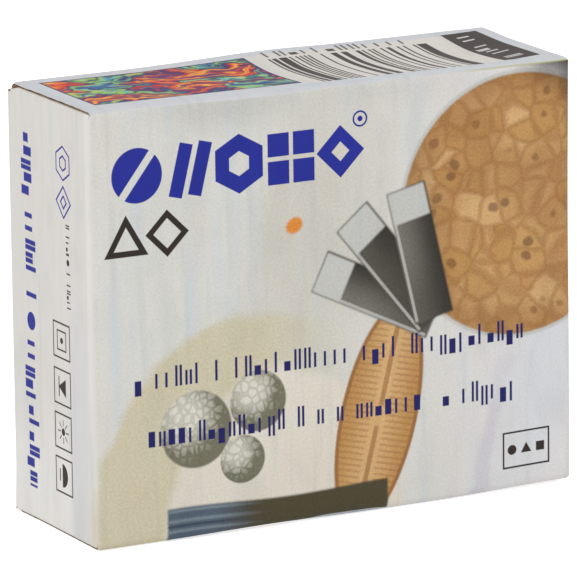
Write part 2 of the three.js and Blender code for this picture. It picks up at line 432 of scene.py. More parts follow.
@dataclass(frozen=True)
class BoxPlan:
    """Outside size of the box, and where its folds and cut edges run."""

    width: float
    depth: float
    height: float
    lid_half: float
    board: Board = Board()
    top: BoxEnd = BoxEnd(0.5 * MM, 0.08 * MM, 1.6 * MM, 13.3 * MM, 0.6 * MM)
    bottom: BoxEnd = BoxEnd(0.3 * MM, 0.02 * MM, 0.3 * MM, 13.7 * MM, 0.0)
    fold_inset: float = 1.8 * MM
    slit_depth: float = 1.25 * MM
    slit_angle: float = math.radians(26)
    tab_inset: float = 3.6 * MM
    tab_length: float = 13.0 * MM
    seam_setback: float = 0.4 * MM
    tuck_fold: float = 12.05 * MM
    fold_steps: int = 9
    flat_step: float = 2.6 * MM

    @classmethod
    def from_frame(cls) -> "BoxPlan":
        """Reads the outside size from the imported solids."""
        low, high = (Vector(corner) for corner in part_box("carton"))
        size = high - low
        lid_top = Vector(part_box("lid")[1])
        return cls(size.x, size.y, lid_top.z, lid_top.x)

    @property
    def inner_x(self) -> float:
        """Half the width between the end panels' inner faces."""
        return self.width / 2 - self.board.thickness

    @property
    def inner_y(self) -> float:
        """Half the depth between the front and back panels' inner faces."""
        return self.depth / 2 - self.board.thickness

    def settled(self, point: Vector) -> Vector:
        """Bows the panels a little, as handling and the weight of the glass do."""
        across, up = point.x / (self.width / 2), 2 * point.z / self.height - 1
        upright = max(0.0, 1 - up**2)
        bow = max(0.0, 1 - across**2) * upright
        front = 1 - ease(-self.inner_y, MM - self.inner_y, point.y)
        back = ease(self.inner_y - MM, self.inner_y, point.y)
        left = 1 - ease(-self.inner_x, MM - self.inner_x, point.x)
        foot = 1 - ease(0, 8 * MM, point.z)
        moved = point.copy()
        moved.y += (0.14 * back - 0.1 * front) * bow * MM
        moved.x -= 0.2 * left * foot * ease(4 * MM, self.inner_y, point.y) * MM
        near_fold = ease(60 * MM, self.height, point.z) * front
        dip = 0.26 * hump(-12, 11, point.x / MM) - 0.12 * hump(-32, 7, point.x / MM)
        moved.z -= dip * near_fold * MM
        arch = 0.2 * hump(-12, 11, point.x / MM) * (1 - ease(0, 14 * MM, point.z))
        moved.z += arch * (1 - ease(-self.inner_y, 0, point.y)) * MM
        right = ease(self.inner_x - MM, self.inner_x, point.x)
        moved.x -= 0.15 * right * hump(45, 16, point.z / MM) * MM
        proud = ease(16 * MM, self.width / 2, point.x) * (1 - ease(0, 45 * MM, point.z))
        moved.z += 0.5 * proud * (1 - 0.5 * ease(-self.inner_y, self.inner_y, point.y)) * MM
        return moved


class Walls:
    """The four upright panels and the glue tab, bent from one strip."""

    plain_rows = 40
    wavy_rows = 185
    map_scales = (0.4, 0.6, 1.0, 0.8)

    def __init__(self, plan: BoxPlan) -> None:
        """Lays the strip out from the glue tab, round by the back and the front, to the seam."""
        self.plan = plan
        board = plan.board.thickness
        path = FoldPath((plan.inner_x, plan.inner_y - plan.tab_length), 90, 1)
        path.flat(plan.tab_length).fold(90, board)
        path.flat(2 * plan.inner_x - board).fold(90, board)
        path.flat(2 * plan.inner_y).fold(90, board)
        path.flat(2 * plan.inner_x).fold(90, board)
        path.flat(2 * plan.inner_y + board - plan.seam_setback)
        self.path = path
        marks = path.marks()
        self.tab_end, self.back_start = marks[1], marks[2]
        self.left_start, self.left_end = marks[4], marks[5]
        self.front_start, self.front_end = marks[6], marks[7]
        self.right_start = marks[8]
        self.middle = (self.front_start + self.front_end) / 2
        slit = plan.slit_angle * board
        stops = marks[:6] + [self.left_end + slit - 0.02 * MM, self.left_end + slit] + marks[6:8]
        stops += [self.right_start - slit, self.right_start - slit + 0.02 * MM] + marks[8:]
        fine = board * FRONT_FOLD / plan.fold_steps
        crown_ends = [self.left_start, self.left_start + 4 * MM]
        self.columns = [stops[0]]
        for start, end in zip(stops, stops[1:]):
            folded = end - start < 2 * board
            step = fine if folded or start in crown_ends else plan.flat_step
            self.columns += spaced([start, end], step)[1:]
        near_ends = spaced(crown_ends, 0.5 * MM) + spaced([path.length - 4 * MM, path.length], 0.5 * MM)
        self.columns = sorted({round(c, 7) for c in self.columns + near_ends})

    def inset(self, along: float, end: BoxEnd) -> float:
        """Distance from the end of the box to the strip's cut edge, or to the fold it goes on by."""
        plan = self.plan
        board = plan.board.thickness
        if along < self.tab_end:
            return plan.tab_inset + 5 * MM * (1 - along / self.tab_end) ** 2
        if along < self.back_start:
            away = ease(self.tab_end, self.back_start, along)
            return plan.tab_inset + (end.back_inset - plan.tab_inset) * away
        if along < self.left_start:
            return end.back_inset
        if along <= self.left_end:
            y = plan.inner_y - (along - self.left_start)
        elif along >= self.right_start:
            y = along - self.right_start - plan.inner_y
        else:
            corner = min(abs(along - self.left_end), abs(self.right_start - along)) / board
            beside_lid = corner < plan.slit_angle
            return plan.fold_inset - (plan.slit_depth if beside_lid else 0.0)
        crown = end.crown_inset + end.sunk(y)
        return crown + (end.back_inset - crown) * ease(end.crown_far, end.crown_far + 0.3 * MM, y)

    def thinning(self, along: float, z: float) -> float:
        """Share of the board's thickness that is left near the tight folds of the end panels."""
        plan = self.plan
        beside = max(
            ease(self.left_start - 2 * MM, self.left_start + 2 * MM, along)
            * (1 - ease(self.left_end - 2 * MM, self.left_end + MM, along)),
            ease(self.right_start - MM, self.right_start + 2 * MM, along),
        )
        near = 1 - ease(plan.top.crown_inset, 3.4 * MM, min(z, plan.height - z))
        return 1 - (1 - plan.board.crushed / plan.board.thickness) * near * beside

    def upright(self, flat: Vector) -> float:
        """Height of a flat point, whose y is a share of the strip's height."""
        low = self.inset(flat.x, self.plan.bottom)
        high = self.plan.height - self.inset(flat.x, self.plan.top)
        return low + flat.y * (high - low)

    def bend(self, flat: Vector) -> Vector:
        """Bends a flat point round the box."""
        z = self.upright(flat)
        place = self.path.place(flat.x, flat.z * self.thinning(flat.x, z))
        return self.plan.settled(Vector((place.x, place.y, z)))

    def blank(self, flat: Vector) -> Vector:
        """Place of a flat point on the unfolded blank."""
        return Vector((flat.x - self.middle, self.upright(flat), flat.z))

    def ripple(self, flat: Vector) -> Vector:
        """Waves the middle sheet along the strip's height."""
        board = self.plan.board
        rise = board.wave * math.sin(math.tau * self.upright(flat) / board.pitch)
        return flat + Vector((0, 0, rise))

    def add_to(self, piece: BoardPiece, ply: Ply) -> None:
        """Adds one of the strip's plies to a piece."""
        wavy = ply is Ply.MEDIUM
        count = self.wavy_rows if wavy else self.plain_rows
        rows = [i / count for i in range(count + 1)]
        heights = ply.heights(self.plan.board)
        ends = (self.back_start, self.left_start, self.front_end, math.inf)
        zones = list(zip(ends, self.map_scales))
        ripple = self.ripple if wavy else None
        piece.add(self.columns, rows, heights, self.bend, self.blank, ripple, zones)


class DustFlap:
    """A flap folded in over an open end from the top or bottom of an end panel."""

    length = 20.8 * MM
    near_side = -12.85 * MM
    far_side = 10.75 * MM
    cuts_across = 26
    wavy_step = 0.27 * MM
    plain_step = 1.2 * MM
    map_scale = 0.6

    def __init__(self, plan: BoxPlan, side: int, at_top: bool, walls: Walls) -> None:
        """Lays out a flap.

        Args:
            plan: The box.
            side: -1 for the left end panel, 1 for the right.
            at_top: Whether it lies under the lid. Otherwise it lies on the base panel.
            walls: The strip that it grows from, for its place on the blank.
        """
        self.plan, self.side, self.at_top = plan, side, at_top
        self.end = plan.top if at_top else plan.bottom
        board, radius = plan.board, self.end.crown_radius
        run = board.crush_run + 0.4 * MM
        drop = board.thickness - self.end.crushed
        slope = math.atan2(drop, run)
        path = FoldPath((-plan.width / 2, plan.height - self.end.crown_inset), 90, -1)
        path.fold(90 + math.degrees(slope), radius).flat(math.hypot(run, drop) - radius)
        self.slope_end = path.length
        path.turn_to(0).flat(self.length - run - radius)
        self.path = path
        edge = walls.left_end if side < 0 else walls.right_start
        self.blank_x = edge - walls.middle
        self.fold_reach = (-plan.inner_y, self.end.crown_far)
        self.flap_reach = (self.near_side, self.far_side)

    def across(self, flat: Vector) -> float:
        """Place along the end panel of a flat point, whose x is a share of the flap's width."""
        taper = ease(0.9 * MM, 3.6 * MM, flat.y)
        near, far = (a + (b - a) * taper for a, b in zip(self.fold_reach, self.flap_reach))
        return near + flat.x * (far - near)

    def bend(self, flat: Vector) -> Vector:
        """Bends a flat point over the fold."""
        plan = self.plan
        y = self.across(flat)
        crushed = plan.board.crushed / plan.board.thickness
        share = crushed + (1 - crushed) * ease(0.8 * MM, self.slope_end, flat.y)
        place = self.path.place(flat.y, flat.z * share)
        z = place.y - self.end.sunk(y) * (1 - ease(0.8 * MM, self.slope_end, flat.y))
        if self.at_top:
            z -= Lid.dish(plan, -self.side * place.x, y) * ease(0, 3 * MM, flat.y)
        else:
            z = plan.height - z
        return plan.settled(Vector((-self.side * place.x, y, z)))

    def blank(self, flat: Vector) -> Vector:
        """Place of a flat point on the unfolded blank."""
        across = (self.across(flat) + self.plan.inner_y) * self.side
        up = self.plan.height - self.end.crown_inset + flat.y
        return Vector((self.blank_x + across, up if self.at_top else self.plan.height - up, flat.z))

    def ripple(self, flat: Vector) -> Vector:
        """Waves the middle sheet along the flap."""
        board = self.plan.board
        return flat + Vector((0, 0, board.wave * math.sin(math.tau * flat.y / board.pitch)))

    def add_to(self, piece: BoardPiece, ply: Ply) -> None:
        """Adds one of the flap's plies to a piece."""
        wavy = ply is Ply.MEDIUM
        crown_end = self.path.marks()[1]
        rows = spaced([0, crown_end], crown_end / 6)
        step = self.wavy_step if wavy else self.plain_step
        rows += spaced([crown_end, self.slope_end, self.path.length], step)[1:]
        columns = [i / self.cuts_across for i in range(self.cuts_across + 1)]
        heights = ply.heights(self.plan.board)
        ripple = self.ripple if wavy else None
        zones = ((math.inf, self.map_scale),)
        piece.add(columns, rows, heights, self.bend, self.blank, ripple, zones)


class Closure:
    """A panel folded over an open end from the front, with a tuck flap behind it."""

    map_scale = 1.0
    side_margin = 3.2 * MM
    corner = 4.0 * MM
    wavy_step = 0.27 * MM
    plain_step = 1.1 * MM

    def __init__(self, plan: BoxPlan, end: BoxEnd, tuck_length: float, lean: float) -> None:
        """Lays out a panel.

        Args:
            plan: The box.
            end: The end of the box that it closes.
            tuck_length: Length of the tuck flap.
            lean: Degrees that the tuck flap leans in from upright.
        """
        self.plan, self.end = plan, end
        board = plan.board.thickness
        path = FoldPath((-plan.depth / 2, plan.height - plan.fold_inset), 90, -1)
        path.flat(plan.fold_inset - board).fold(90, board)
        path.flat(plan.tuck_fold + plan.inner_y).fold(90 + lean, board)
        path.flat(tuck_length)
        self.path = path
        marks = path.marks()
        self.fold_start, self.fold_end = marks[1], marks[2]
        self.tuck_bend, self.tuck_start = marks[3], marks[4]
        self.front_reach = plan.inner_x + board * (FRONT_FOLD - plan.slit_angle)
        self.droop = 0.5 * self.end.crushed

    def fold_share(self, along: float) -> float:
        """1 on the upright start of the panel, falling to 0 where its front fold ends."""
        turned = (along - self.fold_start) / self.plan.board.thickness
        return math.cos(min(max(turned, 0.0), FRONT_FOLD))

    def spread(self, flat: Vector) -> float:
        """Place across, with the panel widened where it goes into the upright folds."""
        half, straight = self.plan.lid_half, self.plan.lid_half - 2 * MM
        if flat.y > self.tuck_start or abs(flat.x) <= straight:
            return flat.x
        more = (self.front_reach - half) * self.fold_share(flat.y)
        past = (abs(flat.x) - straight) / (half - straight)
        ragged = 0.07 * MM * past * noise.noise(Vector((flat.x * 60, flat.y * 700, 7.0)))
        return flat.x + math.copysign(more * past + ragged, flat.x)

    def narrowed(self, x: float, along: float) -> float:
        """Place across of a tuck flap's point, drawn in by its round corners."""
        half = self.plan.lid_half - self.side_margin
        past = along - (self.path.length - self.corner)
        if past <= 0:
            return x
        cut = self.corner - math.sqrt(max(self.corner**2 - past**2, 0.0))
        straight = half - self.corner - MM
        if abs(x) <= straight:
            return x
        share = (abs(x) - straight) / (half - straight)
        return math.copysign(straight + share * (half - cut - straight), x)

    def pressed(self, flat: Vector) -> float:
        """Height of a flat point above the printed face, with the cut ends crushed."""
        board = self.plan.board
        inward = self.plan.lid_half - abs(flat.x)
        crushed = self.end.crushed
        whole = crushed + (board.thickness - crushed) * ease(0, board.crush_run, inward)
        open_end = 1 - ease(0.72, 0.9, self.fold_share(flat.y)) if flat.y < self.tuck_start else 0.0
        droop = self.droop * (1 - ease(0, 0.5 * MM, inward)) * open_end
        return -droop + flat.z * (whole - droop) / board.thickness

    def lift(self, x: float, y: float) -> float:
        """Height that the panel stands above its flat place."""
        return 0.0

    def folded(self, flat: Vector) -> Vector:
        """Bends a flat point over the top end of the box."""
        plan = self.plan
        x = self.spread(flat)
        if flat.y > self.tuck_start:
            x = self.narrowed(x, flat.y)
        height = self.pressed(flat)
        place = self.path.place(flat.y, height)
        y = place.x
        past = abs(x) - plan.inner_x
        if past > 0 and flat.y < self.fold_end:
            share = self.fold_share(flat.y)
            radius = plan.board.thickness
            angle = past / radius
            x = math.copysign(
                plan.inner_x + (1 - share) * past + share * (radius + height) * math.sin(angle), x
            )
            y = -plan.inner_y + (y + plan.inner_y) * (1 - share + share * math.cos(angle))
        return Vector((x, y, place.y + self.lift(x, y)))

    def bend(self, flat: Vector) -> Vector:
        """Bends a flat point over its end of the box."""
        return self.plan.settled(self.folded(flat))

    def blank(self, flat: Vector) -> Vector:
        """Place of a flat point on the unfolded blank."""
        return Vector((self.spread(flat), self.plan.height - self.plan.fold_inset + flat.y, flat.z))

    def ripple(self, flat: Vector) -> Vector:
        """Waves the middle sheet along the panel, crushed flat in its folds."""
        board = self.plan.board
        fold = 1 - ease(self.fold_end, self.fold_end + MM, flat.y)
        rear = ease(self.tuck_bend - 0.6 * MM, self.tuck_bend, flat.y)
        rear *= 1 - ease(self.tuck_start, self.tuck_start + 0.6 * MM, flat.y)
        swell = board.wave * (1 - 0.6 * max(fold, rear))
        uneven = 1 + 0.25 * noise.noise(Vector((flat.x * 90, flat.y * 300, 3.0)))
        return flat + Vector((0, 0, swell * uneven * math.sin(math.tau * flat.y / board.pitch)))

    def columns(self, half: float, close: float) -> list[float]:
        """Places across a sheet, set close near its two ends."""
        middle = spaced([close - half, half - close], 2.4 * MM)
        ends = spaced([half - close, half - 0.6 * MM, half], 0.15 * MM if close < 3 * MM else 0.4 * MM)
        return sorted({round(c, 7) for c in middle + ends + [-c for c in ends]})

    def add_to(self, piece: BoardPiece, ply: Ply, start: float = 0.0) -> None:
        """Adds one of the plies to a piece.

        Args:
            piece: The piece.
            ply: The ply.
            start: Where the sheet starts along the panel.
        """
        plan = self.plan
        wavy = ply is Ply.MEDIUM
        ripple = self.ripple if wavy else None
        heights = ply.heights(plan.board)
        step = self.wavy_step if wavy else self.plain_step
        bends = plan.board.thickness * 0.2
        stops = [start, self.fold_end, self.tuck_bend, self.tuck_start]
        rows = [start]
        for low, high, fine in zip(stops, stops[1:], (bends, step, bends)):
            if high > low:
                rows += spaced([low, high], min(fine, step))[1:]
        columns = self.columns(plan.lid_half, plan.board.crush_run)
        zones = ((math.inf, self.map_scale),)
        piece.add(columns, rows, heights, self.bend, self.blank, ripple, zones)
        low, high = self.tuck_start + 1e-6, self.path.length
        rows = spaced([low, high - self.corner, high], min(step, 0.4 * MM))
        columns = self.columns(plan.lid_half - self.side_margin, self.corner)
        piece.add(columns, rows, heights, self.bend, self.blank, ripple, zones)


class Base(Closure):
    """The glued base, which is the lid's panel turned upside down."""

    map_scale = 0.6

    def bend(self, flat: Vector) -> Vector:
        """Bends a flat point under the box."""
        point = self.folded(flat)
        return self.plan.settled(Vector((point.x, point.y, self.plan.height - point.z)))

    def blank(self, flat: Vector) -> Vector:
        """Place of a flat point on the unfolded blank."""
        return Vector((self.spread(flat), self.plan.fold_inset - flat.y, flat.z))


class Lid(Closure):
    """The lid panel and its tuck flap, a little dished from use."""

    @staticmethod
    def dish(plan: BoxPlan, x: float, y: float) -> float:
        """How far the panel has sunk between its front fold and its tuck fold."""
        across = x / MM
        deep = 0.22 + 0.32 * ease(-38, -4, across) + 0.26 * ease(4, 30, across)
        deep *= ease(-41.4, -36, across) * (1 - ease(33.5, 40.5, across))
        middle = (plan.tuck_fold - plan.inner_y) / 2
        half = (plan.tuck_fold + plan.inner_y) / 2
        return deep * MM * max(0.0, 1 - ((y - middle) / half) ** 2)

    def lift(self, x: float, y: float) -> float:
        """Height that the lid stands above its flat place."""
        across = x / MM
        rear = 0.38 * ease(-24, -2, across) + 0.22 * hump(3, 8, across) - 0.06 * ease(34, 42, across)
        rear *= ease(0.0, self.plan.tuck_fold, y)
        waver = noise.noise(Vector((across * 0.1, y / MM * 0.16, 5.0)))
        ragged = 0.16 * ease(39.6, 41.6, abs(across)) * waver
        ragged *= ease(-self.plan.inner_y, -10 * MM, y)
        return (rear + ragged) * MM - self.dish(self.plan, x, y)


class FrontCrease:
    """The stretch of board in the lid's front fold, which bends as the lid turns."""

    def __init__(self, lid: Lid) -> None:
        """Takes the fold's shape from the lid."""
        self.lid = lid

    def build(self, materials: Sequence[bpy.types.Material]) -> bpy.types.Object:
        """Makes the crease's three plies."""
        lid, plan = self.lid, self.lid.plan
        board = plan.board
        piece = BoardPiece("lid_crease", printed=True)
        columns = lid.columns(plan.lid_half, board.crush_run)
        overlap = 0.3 * MM
        rows = spaced([0.0, lid.fold_start, lid.fold_end, lid.fold_end + overlap], board.thickness / 10)
        for ply in (Ply.OUTER, Ply.MEDIUM):
            piece.add(columns, rows, ply.heights(board), lid.bend, lid.blank)
        inner = 1.2 * MM
        before = spaced([-inner, 0.0], inner / 2)[:-1]
        beyond = spaced([rows[-1], rows[-1] + inner], inner / 2)[1:]
        rows = before + rows + beyond
        piece.add(columns, rows, Ply.INNER.heights(board), lid.bend, lid.blank)
        crease = piece.finish(materials)
        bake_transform(crease)
        return crease


# ---------------------------------------------------------------- shader wiring


class Wiring:
    """Adds nodes to a shader tree and joins them."""

    def __init__(self, tree: bpy.types.NodeTree) -> None:
        """Works on the given tree."""
        self.tree = tree

    def feed(self, socket: Socket, value: Value) -> None:
        """Links a socket to an input, or sets the input to a value or an ink.

        Args:
            socket: The input.
            value: What goes into it. None leaves it as it is.
        """
        if isinstance(value, Socket):
            self.tree.links.new(value, socket)
        elif isinstance(value, Enum):
            socket.default_value = value.value
        elif value is not None:
            socket.default_value = value

    def node(self, kind: str, *values: Value, **settings: object) -> bpy.types.Node:
        """Adds a node.

        Args:
            kind: Blender's name for the node.
            values: What goes into its inputs, in order.
            settings: Its other settings, by name.

        Returns:
            The node.
        """
        node = self.tree.nodes.new(kind)
        for name, setting in settings.items():
            setattr(node, name, setting)
        for socket, value in zip(node.inputs, values):
            self.feed(socket, value)
        return node

    def math(self, operation: str, *values: Value, clamp: bool = False) -> Socket:
        """Adds a sum and returns its result."""
        return self.node("ShaderNodeMath", *values, operation=operation, use_clamp=clamp).outputs[0]

    def vector(self, operation: str, *values: Value) -> Socket:
        """Adds a vector sum and returns its result."""
        node = self.node("ShaderNodeVectorMath", *values, operation=operation)
        return node.outputs[1 if operation in ("LENGTH", "DISTANCE", "DOT_PRODUCT") else 0]

    def times(self, *factors: Value) -> Socket:
        """Multiplies numbers, each with the product of those before it."""
        product = factors[0]
        for factor in factors[1:]:
            product = self.math("MULTIPLY", product, factor)
        return product

    def minus(self, value: Value, less: Value) -> Socket:
        """Takes one number from another."""
        return self.math("SUBTRACT", value, less)

    def inverted(self, mask: Value) -> Socket:
        """All that a mask leaves out."""
        return self.minus(1.0, mask)

    def apart(self, first: Value, second: Value) -> Socket:
        """How far two numbers are apart."""
        return self.math("ABSOLUTE", self.minus(first, second))

    def stretched(self, vector: Value, scale: tuple) -> Socket:
        """Multiplies a vector's parts by three numbers."""
        return self.vector("MULTIPLY", vector, scale)

    def parts(self, vector: Value) -> tuple[Socket, ...]:
        """Splits a vector into x, y and z."""
        axes = ((1, 0, 0), (0, 1, 0), (0, 0, 1))
        return tuple(self.vector("DOT_PRODUCT", vector, axis) for axis in axes)

    def smooth(self, value: Value, low: Value, high: Value) -> Socket:
        """Rises smoothly from 0 at low to 1 at high."""
        node = self.node("ShaderNodeMapRange", value, low, high, interpolation_type="SMOOTHSTEP")
        return node.outputs[0]

    def mix(self, share: Value, first: Value, second: Value, way: str = "MIX") -> Socket:
        """Mixes two colours, in one of the Mix node's ways."""
        node = self.node("ShaderNodeMix", share, data_type="RGBA", blend_type=way)
        self.feed(node.inputs[6], first)
        self.feed(node.inputs[7], second)
        return node.outputs[2]

    def blend(self, share: Value, first: Value, second: Value) -> Socket:
        """Mixes two numbers."""
        node = self.node("ShaderNodeMix", share, data_type="FLOAT")
        self.feed(node.inputs[2], first)
        self.feed(node.inputs[3], second)
        return node.outputs[0]

    def shaded(self, colour: Value, brightness: Value) -> Socket:
        """Makes a colour lighter or darker."""
        node = self.node("ShaderNodeHueSaturation")
        self.feed(node.inputs["Color"], colour)
        self.feed(node.inputs["Value"], brightness)
        return node.outputs[0]

    def noise(self, vector: Value, scale: float, detail: float = 2.0, output: str = "Fac") -> Socket:
        """Adds noise of about 0 to 1.

        Args:
            vector: The place.
            scale: How close the noise is.
            detail: How many finer noises lie over it.
            output: "Fac" for one noise, "Color" for three that differ.

        Returns:
            The noise.
        """
        node = self.node("ShaderNodeTexNoise", vector)
        self.feed(node.inputs["Scale"], scale)
        self.feed(node.inputs["Detail"], detail)
        return node.outputs[output]

    def cells(self, vector: Value, scale: Value, feature: str = "F1") -> bpy.types.NodeOutputs:
        """Splits space into cells and returns what is measured in them."""
        node = self.node("ShaderNodeTexVoronoi", vector, feature=feature)
        self.feed(node.inputs["Scale"], scale)
        return node.outputs

    def chance(self, cell: Value) -> bpy.types.NodeOutputs:
        """Gives each cell of a line random numbers of its own."""
        node = self.node("ShaderNodeTexWhiteNoise", noise_dimensions="1D")
        self.feed(node.inputs["W"], cell)
        return node.outputs

    def bump(self, height: Value, distance: float) -> Socket:
        """Tilts the surface by a height, which counts the distance from 0 to 1."""
        node = self.node("ShaderNodeBump")
        self.feed(node.inputs["Height"], height)
        self.feed(node.inputs["Distance"], distance)
        return node.outputs[0]

    def paint(self, ground: Value, layers: Sequence[tuple[Value, Value]]) -> Socket:
        """Lays colours over a ground, each through its mask."""
        for mask, colour in layers:
            ground = self.mix(mask, ground, colour)
        return ground

    def either(self, *masks: Value) -> Socket:
        """The union of masks."""
        whole = masks[0]
        for mask in masks[1:]:
            whole = self.math("MAXIMUM", whole, mask)
        return whole

    def without(self, mask: Value, hole: Value) -> Socket:
        """A mask with a hole cut in it."""
        return self.times(mask, self.inverted(hole))


class Effect:
    """A shader node group with named inputs and outputs, built once and placed many times."""

    name = ""
    takes: dict[str, str] = {}
    gives: dict[str, str] = {}

    @classmethod
    def build(cls, wiring: Wiring, given: dict) -> dict:
        """Wires the group up and returns what it gives, by name."""
        raise NotImplementedError

    @classmethod
    def tree(cls) -> bpy.types.NodeTree:
        """The group, made the first time that it is asked for."""
        tree = bpy.data.node_groups.get(cls.name)
        if tree:
            return tree
        tree = bpy.data.node_groups.new(cls.name, "ShaderNodeTree")
        for sockets, way in ((cls.takes, "INPUT"), (cls.gives, "OUTPUT")):
            for name, kind in sockets.items():
                tree.interface.new_socket(name, in_out=way, socket_type="NodeSocket" + kind)
        wiring = Wiring(tree)
        given = {socket.name: socket for socket in wiring.node("NodeGroupInput").outputs}
        leave = wiring.node("NodeGroupOutput")
        for name, value in cls.build(wiring, given).items():
            wiring.feed(leave.inputs[name], value)
        return tree

    @classmethod
    def placed(cls, wiring: Wiring, **values: Value) -> bpy.types.NodeOutputs:
        """Places the group in a tree, with its inputs by name, and returns its outputs."""
        node = wiring.node("ShaderNodeGroup", node_tree=cls.tree())
        for name, value in values.items():
            wiring.feed(node.inputs[name], value)
        return node.outputs

    @classmethod
    def place(cls, wiring: Wiring, **values: Value) -> Socket:
        """Places the group in a tree and returns its first output."""
        return cls.placed(wiring, **values)[0]


class InkBlock(Effect):
    """A printed rectangle, with unit vectors along and across it and its half sizes in millimetres."""

    name = "Ink block"
    takes = {
        "Point": "Vector", "Centre": "Vector", "Along": "Vector", "Across": "Vector",
        "HalfX": "Float", "HalfY": "Float", "Soft": "Float",
    }
    gives = {"Mask": "Float"}

    @classmethod
    def build(cls, wiring: Wiring, given: dict) -> dict:
        """Measures the distance past each pair of sides and softens it."""
        place = wiring.vector("SUBTRACT", given["Point"], given["Centre"])
        back = wiring.times(given["Soft"], -1.0)
        inside = []
        for axis, half in (("Along", "HalfX"), ("Across", "HalfY")):
            aside = wiring.math("ABSOLUTE", wiring.vector("DOT_PRODUCT", place, given[axis]))
            inside.append(wiring.smooth(wiring.minus(given[half], aside), back, given["Soft"]))
        return {"Mask": wiring.times(*inside)}


class InkOval(Effect):
    """A printed ellipse, with vectors along and across it that are one over its radii long.

    Soft is a share of the radii.
    """

    name = "Ink oval"
    takes = {
        "Point": "Vector", "Centre": "Vector", "Along": "Vector", "Across": "Vector", "Soft": "Float",
    }
    gives = {"Mask": "Float"}

    @classmethod
    def build(cls, wiring: Wiring, given: dict) -> dict:
        """Scales the ellipse to a disc and softens its rim."""
        place = wiring.vector("SUBTRACT", given["Point"], given["Centre"])
        along, across = (wiring.vector("DOT_PRODUCT", place, given[axis]) for axis in ("Along", "Across"))
        away = wiring.math("MULTIPLY_ADD", across, across, wiring.times(along, along))
        low = wiring.inverted(given["Soft"])
        high = wiring.math("ADD", 1.0, given["Soft"])
        return {"Mask": wiring.inverted(wiring.smooth(wiring.math("SQRT", away), low, high))}


class InkPolygon(Effect):
    """A printed regular polygon, with Apothem from its centre to the middle of a side."""

    name = "Ink polygon"
    takes = {
        "Point": "Vector", "Centre": "Vector",
        "Apothem": "Float", "Sides": "Float", "Turn": "Float", "Soft": "Float",
    }
    gives = {"Mask": "Float"}

    @classmethod
    def build(cls, wiring: Wiring, given: dict) -> dict:
        """Folds the plane onto one side and measures the distance to it."""
        place = wiring.vector("SUBTRACT", given["Point"], given["Centre"])
        x, y, _ = wiring.parts(place)
        angle = wiring.minus(wiring.math("ARCTAN2", y, x), given["Turn"])
        wedge = wiring.math("DIVIDE", math.tau, given["Sides"])
        half = wiring.times(wedge, 0.5)
        within = wiring.minus(wiring.math("FLOORED_MODULO", angle, wedge), half)
        along = wiring.times(wiring.vector("LENGTH", place), wiring.math("COSINE", within))
        past = wiring.minus(given["Apothem"], along)
        back = wiring.times(given["Soft"], -1.0)
        return {"Mask": wiring.smooth(past, back, given["Soft"])}


class InkDashes(Effect):
    """A line of plain strokes and blocks of uneven size, set out like a line of print."""

    name = "Ink dashes"
    takes = dict.fromkeys(("X", "Y", "Length", "Height", "Pitch", "Weight", "Seed"), "Float")
    gives = {"Mask": "Float"}

    @classmethod
    def build(cls, wiring: Wiring, given: dict) -> dict:
        """Gives each cell of the line a stroke, a pair of strokes or a block, or leaves a space."""
        x, y = given["X"], given["Y"]
        cells = wiring.math("DIVIDE", x, given["Pitch"])
        cell = wiring.math("FLOOR", cells)
        within = wiring.times(wiring.math("FRACT", cells), given["Pitch"])
        chance = wiring.chance(wiring.math("ADD", cell, given["Seed"]))
        first, second, third = wiring.parts(chance["Color"])
        soft = wiring.times(given["Pitch"], 0.05)
        back = wiring.times(soft, -1.0)
        half = wiring.times(given["Weight"], 0.5)

        def stroke(share: float) -> Socket:
            """An upright stroke at a share of the cell's width."""
            aside = wiring.minus(within, wiring.times(given["Pitch"], share))
            return wiring.smooth(wiring.minus(half, wiring.math("ABSOLUTE", aside)), back, soft)

        middle = wiring.minus(within, wiring.times(given["Pitch"], 0.45))
        wide = wiring.times(given["Pitch"], 0.33)
        block = wiring.smooth(wiring.minus(wide, wiring.math("ABSOLUTE", middle)), back, soft)
        paired = wiring.math("GREATER_THAN", second, 0.62)
        filled = wiring.math("LESS_THAN", second, 0.3)
        shape = wiring.either(
            stroke(0.28), wiring.times(paired, stroke(0.72)), wiring.times(filled, block)
        )
        rise = wiring.math("MULTIPLY_ADD", wiring.math("GREATER_THAN", third, 0.62), 0.4, 1.0)
        rise = wiring.minus(rise, wiring.times(filled, 0.34))
        top = wiring.times(given["Height"], rise)
        fall = wiring.times(wiring.math("LESS_THAN", third, 0.12), -0.36)
        bottom = wiring.times(given["Height"], fall)
        gaps = [
            wiring.minus(top, y),
            wiring.minus(y, bottom),
            x,
            wiring.minus(given["Length"], x),
        ]
        mask = wiring.times(shape, wiring.math("GREATER_THAN", first, 0.14))
        for gap in gaps:
            mask = wiring.times(mask, wiring.smooth(gap, back, soft))
        return {"Mask": mask}


class Fibres(Effect):
    """The cloudy shade and fine tooth of a paper surface. Point is in millimetres."""

    name = "Paper fibres"
    takes = {"Point": "Vector", "Cloud": "Float", "Tooth": "Float"}
    gives = {"Shade": "Float", "Height": "Float"}

    @classmethod
    def build(cls, wiring: Wiring, given: dict) -> dict:
        """Adds slow clouds to a fine grain."""
        cloud = wiring.noise(given["Point"], 0.16, 3.0)
        grain = wiring.noise(given["Point"], 2.4, 3.0)
        cloud = wiring.times(wiring.minus(cloud, 0.5), given["Cloud"])
        fine = wiring.times(wiring.minus(grain, 0.5), given["Tooth"])
        shade = wiring.math("ADD", wiring.math("ADD", cloud, fine), 1.0)
        return {"Shade": shade, "Height": grain}


